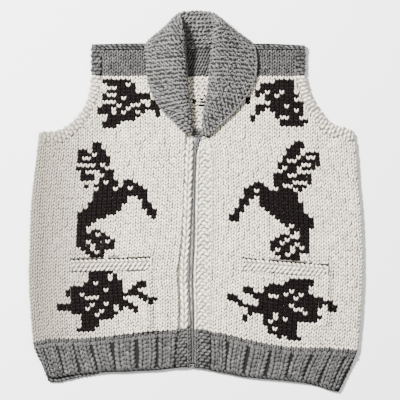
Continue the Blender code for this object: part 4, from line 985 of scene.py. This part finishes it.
# Pocket welts, rolled: three lines of strands along them (height on the plan, kind, pitch, width, strand,
# shift in steps) and a cord at each end
weltLines = [(4.4, "slant", 4.4, 3.6, 1.5, 0.0), (0.8, "stroke", 4.6, 4.6, 1.6, 0.0),
             (-3.1, "stroke", 4.6, 4.6, 1.6, 0.4)]
weltEnd = {"along": 0.493, "half": 5.2}
for node, slit in (("pocket_welt_left", "front_left"), ("pocket_welt_right", "front_right")):
    x, y, width, tilt = slits[slit]
    centre = np.array([x, y])
    ahead, above = weltWays(tilt)
    strands = []
    for at, kind, pitch, across, wide, shift in weltLines:
        line = [centre + ahead * (f * width * 0.495) + above * at for f in (-1, 1)]
        strands += laneOf(node, line, pitch, across, kind, wide, 2.9 * mm, shift=shift)
    for f in (-1, 1):
        line = [centre + ahead * (f * width * weltEnd["along"]) + above * at
                for at in (-weltEnd["half"], weltEnd["half"])]
        strands += laneOf(node, line, 3.6, 2.0, "cord", 1.1, 1.8 * mm)
    addPiece(node, "Knit", strands)

# Shoulder seams, and the cloth turned over the shoulders
for node, x0, x1 in (("shoulder_seam_left", 91.8, 157.0), ("shoulder_seam_right", 238.0, 303.8)):
    addPiece(node, "Chain", laneOf(node, [(x0, 48.1), (x1, 48.1)], 4.3, 2.5, "slant", 1.05, 1.3 * mm))
strands = []
for line in ([(91.6, 45.6), (157.0, 44.7)], [(238.6, 44.9), (304.0, 46.4)]):
    strands += laneOf("back_yoke", line, 4.9, 3.0, "slant", 1.2, 1.4 * mm)
addPiece("back_yoke", "Fold", strands)
print("narrow parts knitted")

# Collar: garter ridges run from the seam over the roll to the free edge
# Its stations: seam, stand, turn in, roll, turn out, fall and edge, each plan x, plan y and height in mm.
# Then the mirror lines of its stand and fall, and how much lower the right wing lies
collarStations = [
    ((186.4, 133.2, 7.8), (187.8, 132.9, 7.8), (189.6, 132.4, 7.9), (191.9, 131.6, 10.5),
     (190.0, 132.4, 13.1),
     (188.2, 133.2, 13.2), (186.2, 134.0, 13.2), 197.0, 197.3, 2.6),
    ((184.3, 122.8, 7.8), (186.2, 121.6, 7.8), (188.3, 120.2, 8.0), (191.3, 118.0, 11.9),
     (187.9, 119.6, 15.7),
     (182.5, 122.2, 14.8), (177.0, 125.0, 13.2), 196.6, 197.3, 1.5),
    ((178.0, 106.0, 7.8), (181.2, 104.8, 7.8), (184.7, 103.4, 8.3), (189.1, 101.6, 14.0),
     (183.6, 102.6, 19.6),
     (172.0, 105.2, 16.6), (160.5, 108.5, 13.2), 197.0, 198.4, 0.5),
    ((172.0, 90.0, 7.8), (176.7, 89.4, 7.8), (181.7, 88.7, 8.5), (187.3, 87.7, 15.1), (181.0, 87.6, 21.7),
     (166.0, 89.2, 17.6), (150.3, 91.5, 13.2), 197.5, 200.0, 0.0),
    ((167.0, 75.2, 7.8), (173.2, 74.7, 7.8), (179.7, 74.2, 9.0), (186.3, 73.5, 16.7), (179.0, 73.0, 24.2),
     (163.0, 74.0, 18.5), (146.0, 76.0, 13.2), 197.6, 201.0, 0.0),
    ((163.0, 60.0, 7.8), (170.7, 59.4, 8.3), (178.6, 58.9, 11.0), (185.3, 58.4, 20.2), (177.8, 57.8, 28.4),
     (161.0, 58.8, 20.0), (145.0, 60.5, 13.2), 197.8, 201.0, 0.0),
    ((160.3, 51.0, 7.8), (168.7, 49.2, 10.8), (177.2, 47.4, 16.5), (184.2, 45.4, 26.2), (176.0, 44.0, 33.4),
     (158.5, 45.5, 21.5), (144.0, 48.5, 13.3), 198.0, 199.6, 0.0),
    ((159.4, 47.6, 7.8), (167.0, 43.6, 14.8), (175.9, 39.0, 22.9), (182.8, 34.5, 31.5), (174.5, 30.0, 34.3),
     (158.8, 33.8, 19.5), (147.0, 41.0, 9.8), 197.8, 198.0, 0.0),
    ((160.6, 45.6, 6.0), (166.6, 38.8, 15.5), (174.8, 30.0, 25.2), (181.2, 23.0, 30.5), (174.4, 18.8, 28.0),
     (164.2, 27.6, 11.0), (153.8, 38.6, 3.4), 196.5, 196.4, 0.0),
    ((166.0, 46.4, 3.6), (170.0, 38.0, 11.5), (177.4, 22.0, 21.0), (180.8, 13.8, 19.4), (177.2, 14.8, 8.2),
     (171.8, 24.5, 3.4), (162.0, 38.8, 2.7), 195.7, 195.7, 0.0),
    ((179.0, 47.0, 2.8), (181.0, 38.2, 9.9), (186.3, 17.8, 17.8), (187.8, 11.2, 11.6), (186.6, 16.0, 3.7),
     (183.5, 27.5, 2.7), (177.0, 39.0, 2.6), 195.4, 195.4, 0.0),
    ((195.4, 47.2, 2.8), (195.4, 37.6, 9.6), (195.4, 17.2, 15.7), (195.4, 10.9, 9.6), (195.4, 16.6, 3.2),
     (195.4, 28.0, 2.7), (195.4, 39.0, 2.6), 195.4, 195.4, 0.0),
]
collar = {"row": 3.4 * mm, "stitch": 6.9 * mm, "wide": 2.2 * mm, "high": 3.0 * mm, "stand": 0.4 * mm,
          "sunk": 1.5 * mm, "thick": 0.11, "backNeck": (126.0, 226.0), "edgeStep": 6.8 * mm,
          "edgeHigh": 1.8 * mm,
          "edgeStand": 0.6 * mm}
# Its surface: points between stations, points between rails, and even steps from the seam to the free edge
collarGrid = {"along": 16, "across": 8, "steps": 60}
# Ridges arch forwards, and the rows between them lie back and half sunk
ridgeArch, furrowArch, furrowSunk = 1.15, -0.6, 0.5


# Points of a smooth curve through the given ones, count to a span
def smoothThrough(points, count):
    p = np.array(points, float)
    p = np.vstack([2 * p[0] - p[1], p, 2 * p[-1] - p[-2]])
    found = []
    for k in range(1, len(p) - 2):
        for i in range(count):
            f = i / count
            found.append(0.5 * (2 * p[k] + (p[k + 1] - p[k - 1]) * f
                                + (2 * p[k - 1] - 5 * p[k] + 4 * p[k + 1] - p[k + 2]) * f * f
                                + (p[k + 2] - p[k - 1] + 3 * (p[k] - p[k + 1])) * f ** 3))
    return np.array(found + [p[-2]])


# The collar's middle surface: sections from tip to tip, each with even points from seam to free edge
def collarSections():
    rows = [row[:7] for row in collarStations]
    for row in reversed(collarStations[:-1]):
        stand, fall, drop = row[7:]
        lines = [stand] * 4 + [(stand + fall) / 2] + [fall] * 2
        rows.append([(2 * line - x, y + drop, z) for line, (x, y, z) in zip(lines, row[:7])])
    rails = [smoothThrough([row[k] for row in rows], collarGrid["along"]) for k in range(7)]
    sections = []
    for s in range(len(rails[0])):
        points = [world(rail[s][0], rail[s][1], rail[s][2] * mm) for rail in rails]
        fine = smoothThrough(points, collarGrid["across"])
        walk = walked(fine)
        at = np.linspace(0, walk[-1], collarGrid["steps"] + 1)
        sections.append(np.stack([np.interp(at, walk, fine[:, c]) for c in range(3)], axis=1))
    return np.array(sections)


# Strands of the whole collar
def knitCollar():
    surface = collarSections()
    normals = np.cross(np.gradient(surface, axis=0), np.gradient(surface, axis=1))
    normals /= np.linalg.norm(normals, axis=2)[:, :, None]
    roll = 44  # the step of a section that measures are taken at, just past the roll
    walk = walked(surface[:, roll])
    last = surface.shape[0] - 1
    places = np.arange(last + 1)
    wide = float(collarGrid["steps"])
    leastStep = 0.02 * mm
    strands = []

    # Value of a grid over the surface, s sections along and q steps across
    def at(grid, s, q):
        s, q = min(max(s, 0.0), last - 0.001), min(max(q, 0.0), wide - 0.001)
        i, j = int(s), int(q)
        f, g = s - i, q - j
        return ((grid[i, j] * (1 - g) + grid[i, j + 1] * g) * (1 - f)
                + (grid[i + 1, j] * (1 - g) + grid[i + 1, j + 1] * g) * f)

    # One arched bump; ds and dq are its half length as steps of the surface, up is how far it arches
    def bump(s, q, ds, dq, up, low):
        found = []
        for f, lift, sink in ((-1, -0.6, 1.1 + low), (0, 0.6, low), (1, -0.6, 1.1 + low)):
            ss, qq = s + f * ds + lift * up[0], min(q + f * dq + lift * up[1], wide - 0.3)
            found.append(at(surface, ss, qq) + at(normals, ss,
                                                  qq) * (collar["stand"] - sink * collar["sunk"]))
        size = 1 + rng.normal(0, collar["thick"])
        strands.append((*found, at(normals, s, q), collar["wide"] * size, collar["high"]))

    # How many steps of the surface one metre is, along the collar and across it
    def stepsPerMetre(s, q):
        along = float(np.linalg.norm(at(surface, s + 2, q) - at(surface, s - 2, q))) / 4.0
        return 1.0 / max(along, leastStep), wide / float(walked(surface[int(s)])[-1])

    # wings: rows run across from the seam to the free edge
    first, final = collar["backNeck"]
    for begin, end, turn in ((0.0, first, 1.0), (final, last, -1.0)):
        w0, w1 = np.interp([begin, end], places, walk)
        rows = int(round((w1 - w0) / collar["row"]))
        for r in range(rows):
            odd = r % 2
            s = float(np.interp(w0 + (r + 0.5) / rows * (w1 - w0), walk, places))
            count = max(int(round(wide / (collar["stitch"] * stepsPerMetre(s, roll)[1]))), 1)
            step = wide / count
            for k in range(-1, count):
                q = (k + 0.5 + 0.5 * odd) * step + rng.normal(0, 0.06) * step
                if q < 0 or q > wide - 0.5:
                    continue
                row = collar["row"] * stepsPerMetre(s, q)[0]
                lean = rng.normal(0.4, 0.33) * row
                arch = turn * row * (furrowArch if odd else ridgeArch)
                bump(s + rng.normal(0, 0.24) * row, q, lean, 0.47 * step, (arch, 0.0), furrowSunk * odd)
    # back of the neck: rows run round it
    rows = int(round(wide / (collar["row"] * stepsPerMetre(last / 2, 20)[1])))
    for r in range(rows):
        odd = r % 2
        q = (r + 0.5) / rows * wide
        path = walked(surface[:, int(q)])
        w0, w1 = path[int(first)], path[int(final)]
        count = max(int(round((w1 - w0) / collar["stitch"])), 1)
        for k in range(count + 1):
            w = w0 + (k + 0.5 * odd) / count * (w1 - w0)
            s = float(np.interp(w, path, places))
            step = collar["stitch"] * stepsPerMetre(s, q)[0]
            arch = wide / rows * (furrowArch if odd else ridgeArch)
            lean = rng.normal(0.5, 0.3) * wide / rows
            bump(s, q + rng.normal(0, 0.3), 0.50 * step, lean, (0.0, arch), furrowSunk * odd)
    # edge stitches along the seam and the free edge
    for q, half in ((0.3, 1.4 * mm), (59.0, 2.1 * mm)):
        for i in range(int(walk[-1] / collar["edgeStep"])):
            s = float(np.interp((i + 0.5) * collar["edgeStep"], walk, places))
            a, m, b = (at(surface, s + d, q) + at(normals, s + d, q) * collar["edgeStand"]
                       for d in (-2.2, 0.0, 2.2))
            strands.append((a, m, b, at(normals, s, q), half, collar["edgeHigh"]))
    return strands


addPiece("collar", "Garter", knitCollar())
print("collar knitted")

# Zip coil: one short turn of filament at each step, by turns on both sides. Its arc is out from the middle
# in plan units and up from the table in mm
zipCoil = {"step": 1.25 * mm, "arc": ((-0.15, 7.0), (0.35, 7.2), (0.8, 6.8)), "wide": 0.48 * mm,
           "high": 0.8 * mm}
for side, sign, phase in (("left", -1.0, 0.25), ("right", 1.0, 0.75)):
    turns = []
    length = walked(zipLine)[-1] * planUnit
    for k in range(int(length / zipCoil["step"])):
        p = alongLine(zipLine, (k + phase) * zipCoil["step"] / length)
        arc = [world(p[0] + sign * d, p[1], z * mm) for d, z in zipCoil["arc"]]
        turns.append((*arc, Vector((0, 0, 1)), zipCoil["wide"], zipCoil["high"]))
    piece = strandMesh("zipCoil" + side.capitalize(), turns, coil)
    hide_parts("zip_teeth_" + side)

# Every cloth piece with its flat size in metres; the shoulder seams are rolled ridges and no sheets
cloths = {
    "front_left": (0.25, 0.44), "front_right": (0.25, 0.45),
    "yoke_left": (0.105, 0.043), "yoke_right": (0.105, 0.043),
    "back": (0.55, 0.45), "back_yoke": (0.33, 0.055),
    "hem_left": (0.235, 0.063), "hem_right": (0.235, 0.066), "hem_back": (0.52, 0.066),
    "front_band_left": (0.015, 0.318), "front_band_right": (0.03, 0.315),
    "hem_band_left": (0.024, 0.063), "hem_band_right": (0.027, 0.063),
    "armband_front_left": (0.017, 0.155), "armband_front_right": (0.017, 0.150),
    "armband_front_left_grey": (0.016, 0.043), "armband_front_right_grey": (0.016, 0.043),
    "armband_back_left": (0.017, 0.155), "armband_back_right": (0.017, 0.150),
    "armband_back_left_grey": (0.016, 0.045), "armband_back_right_grey": (0.016, 0.045),
    "pocket_welt_left": (0.134, 0.018), "pocket_welt_right": (0.142, 0.018),
    "pocket_lining_left": (0.144, 0.112), "pocket_lining_right": (0.145, 0.117),
    "shoulder_seam_left": None, "shoulder_seam_right": None,
    "collar": (0.42, 0.115),
    "zip_tape_left": (0.012, 0.365), "zip_tape_right": (0.012, 0.365),
}
for node in cloths:
    pieces.setdefault(node, []).insert(0, clothShell(node))
print("cloth shells laid")

# Zip metal: the solids' own form with rounded edges, as castings have. Angles in radians
casting = {"flat": 0.02, "sharp": 0.5, "round": 0.8 * mm, "segments": 3}
for node, body in (("zip_slider", "vest"), ("zip_pull", "pull"), ("zip_stop", "vest")):
    bm = bmesh.new()
    bm.from_mesh(frame["nodes"][node].data)
    bmesh.ops.remove_doubles(bm, verts=bm.verts, dist=0.005 * mm)
    bmesh.ops.dissolve_limit(bm, angle_limit=casting["flat"], verts=bm.verts, edges=bm.edges)
    sharp = [e for e in bm.edges if e.calc_face_angle(0.0) > casting["sharp"]]
    bmesh.ops.bevel(bm, geom=sharp, offset=casting["round"], segments=casting["segments"], profile=0.5,
                    affect="EDGES", clamp_overlap=True)
    standIn(node, "Cast", bm, metal, body)
print("zip metal cast")

# Studio: place, size and power of each lamp in metres and watts, and the light of the white room round it.
# The camera looks straight down on the middle of the photograph, in plan units
studio = {"lamps": {"keyLight": ((-1.9, 1.6, 2.4), 0.5, 700.0), "fillLight": ((1.9, 0.2, 2.4), 1.4, 50.0)},
          "room": 0.36, "floor": "#f7f7f7", "floorSize": 6.0, "floorDrop": 0.2 * mm,
          "eye": (199.5, 199.5), "eyeHeight": 5.0, "sharpHeight": 9.0 * mm, "picture": 400.0,
          "sensor": 36.0}


# Floor of matt white paper, which is dull and even, with two lamps, the room's light and the camera
def buildStudio():
    floorMaterial, _, shader = newMaterial("whitePaperSweep", 0.9)
    shader.inputs["Base Color"].default_value = linear(studio["floor"])
    bpy.ops.mesh.primitive_plane_add(size=studio["floorSize"], location=(0, 0, -studio["floorDrop"]))
    floor = bpy.context.object
    floor.name = "floor"
    floor.data.materials.append(floorMaterial)
    for name, (place, size, power) in studio["lamps"].items():
        lamp = bpy.data.lights.new(name, "AREA")
        lamp.shape = "SQUARE"
        lamp.size = size
        lamp.energy = power
        holder = bpy.data.objects.new(name, lamp)
        holder.location = place
        holder.rotation_euler = (-Vector(place)).to_track_quat("-Z", "Y").to_euler()
        bpy.context.scene.collection.objects.link(holder)
    sky = bpy.data.worlds.new("softRoom")
    sky.use_nodes = True
    background = sky.node_tree.nodes["Background"]
    background.inputs[0].default_value = (1, 1, 1, 1)
    background.inputs[1].default_value = studio["room"]
    bpy.context.scene.world = sky
    lens = bpy.data.cameras.new("overhead")
    lens.sensor_width = studio["sensor"]
    distance = studio["eyeHeight"] - studio["sharpHeight"]
    lens.lens = studio["sensor"] * distance / (studio["picture"] * planUnit)
    eye = bpy.data.objects.new("overhead", lens)
    eye.location = world(*studio["eye"], studio["eyeHeight"])
    bpy.context.scene.collection.objects.link(eye)
    bpy.context.scene.camera = eye


buildStudio()
print("studio lit")
for node, flat in cloths.items():
    if flat is None:
        continue
print("triangles:", {o.name: len(o.data.polygons) for group in pieces.values() for o in group})
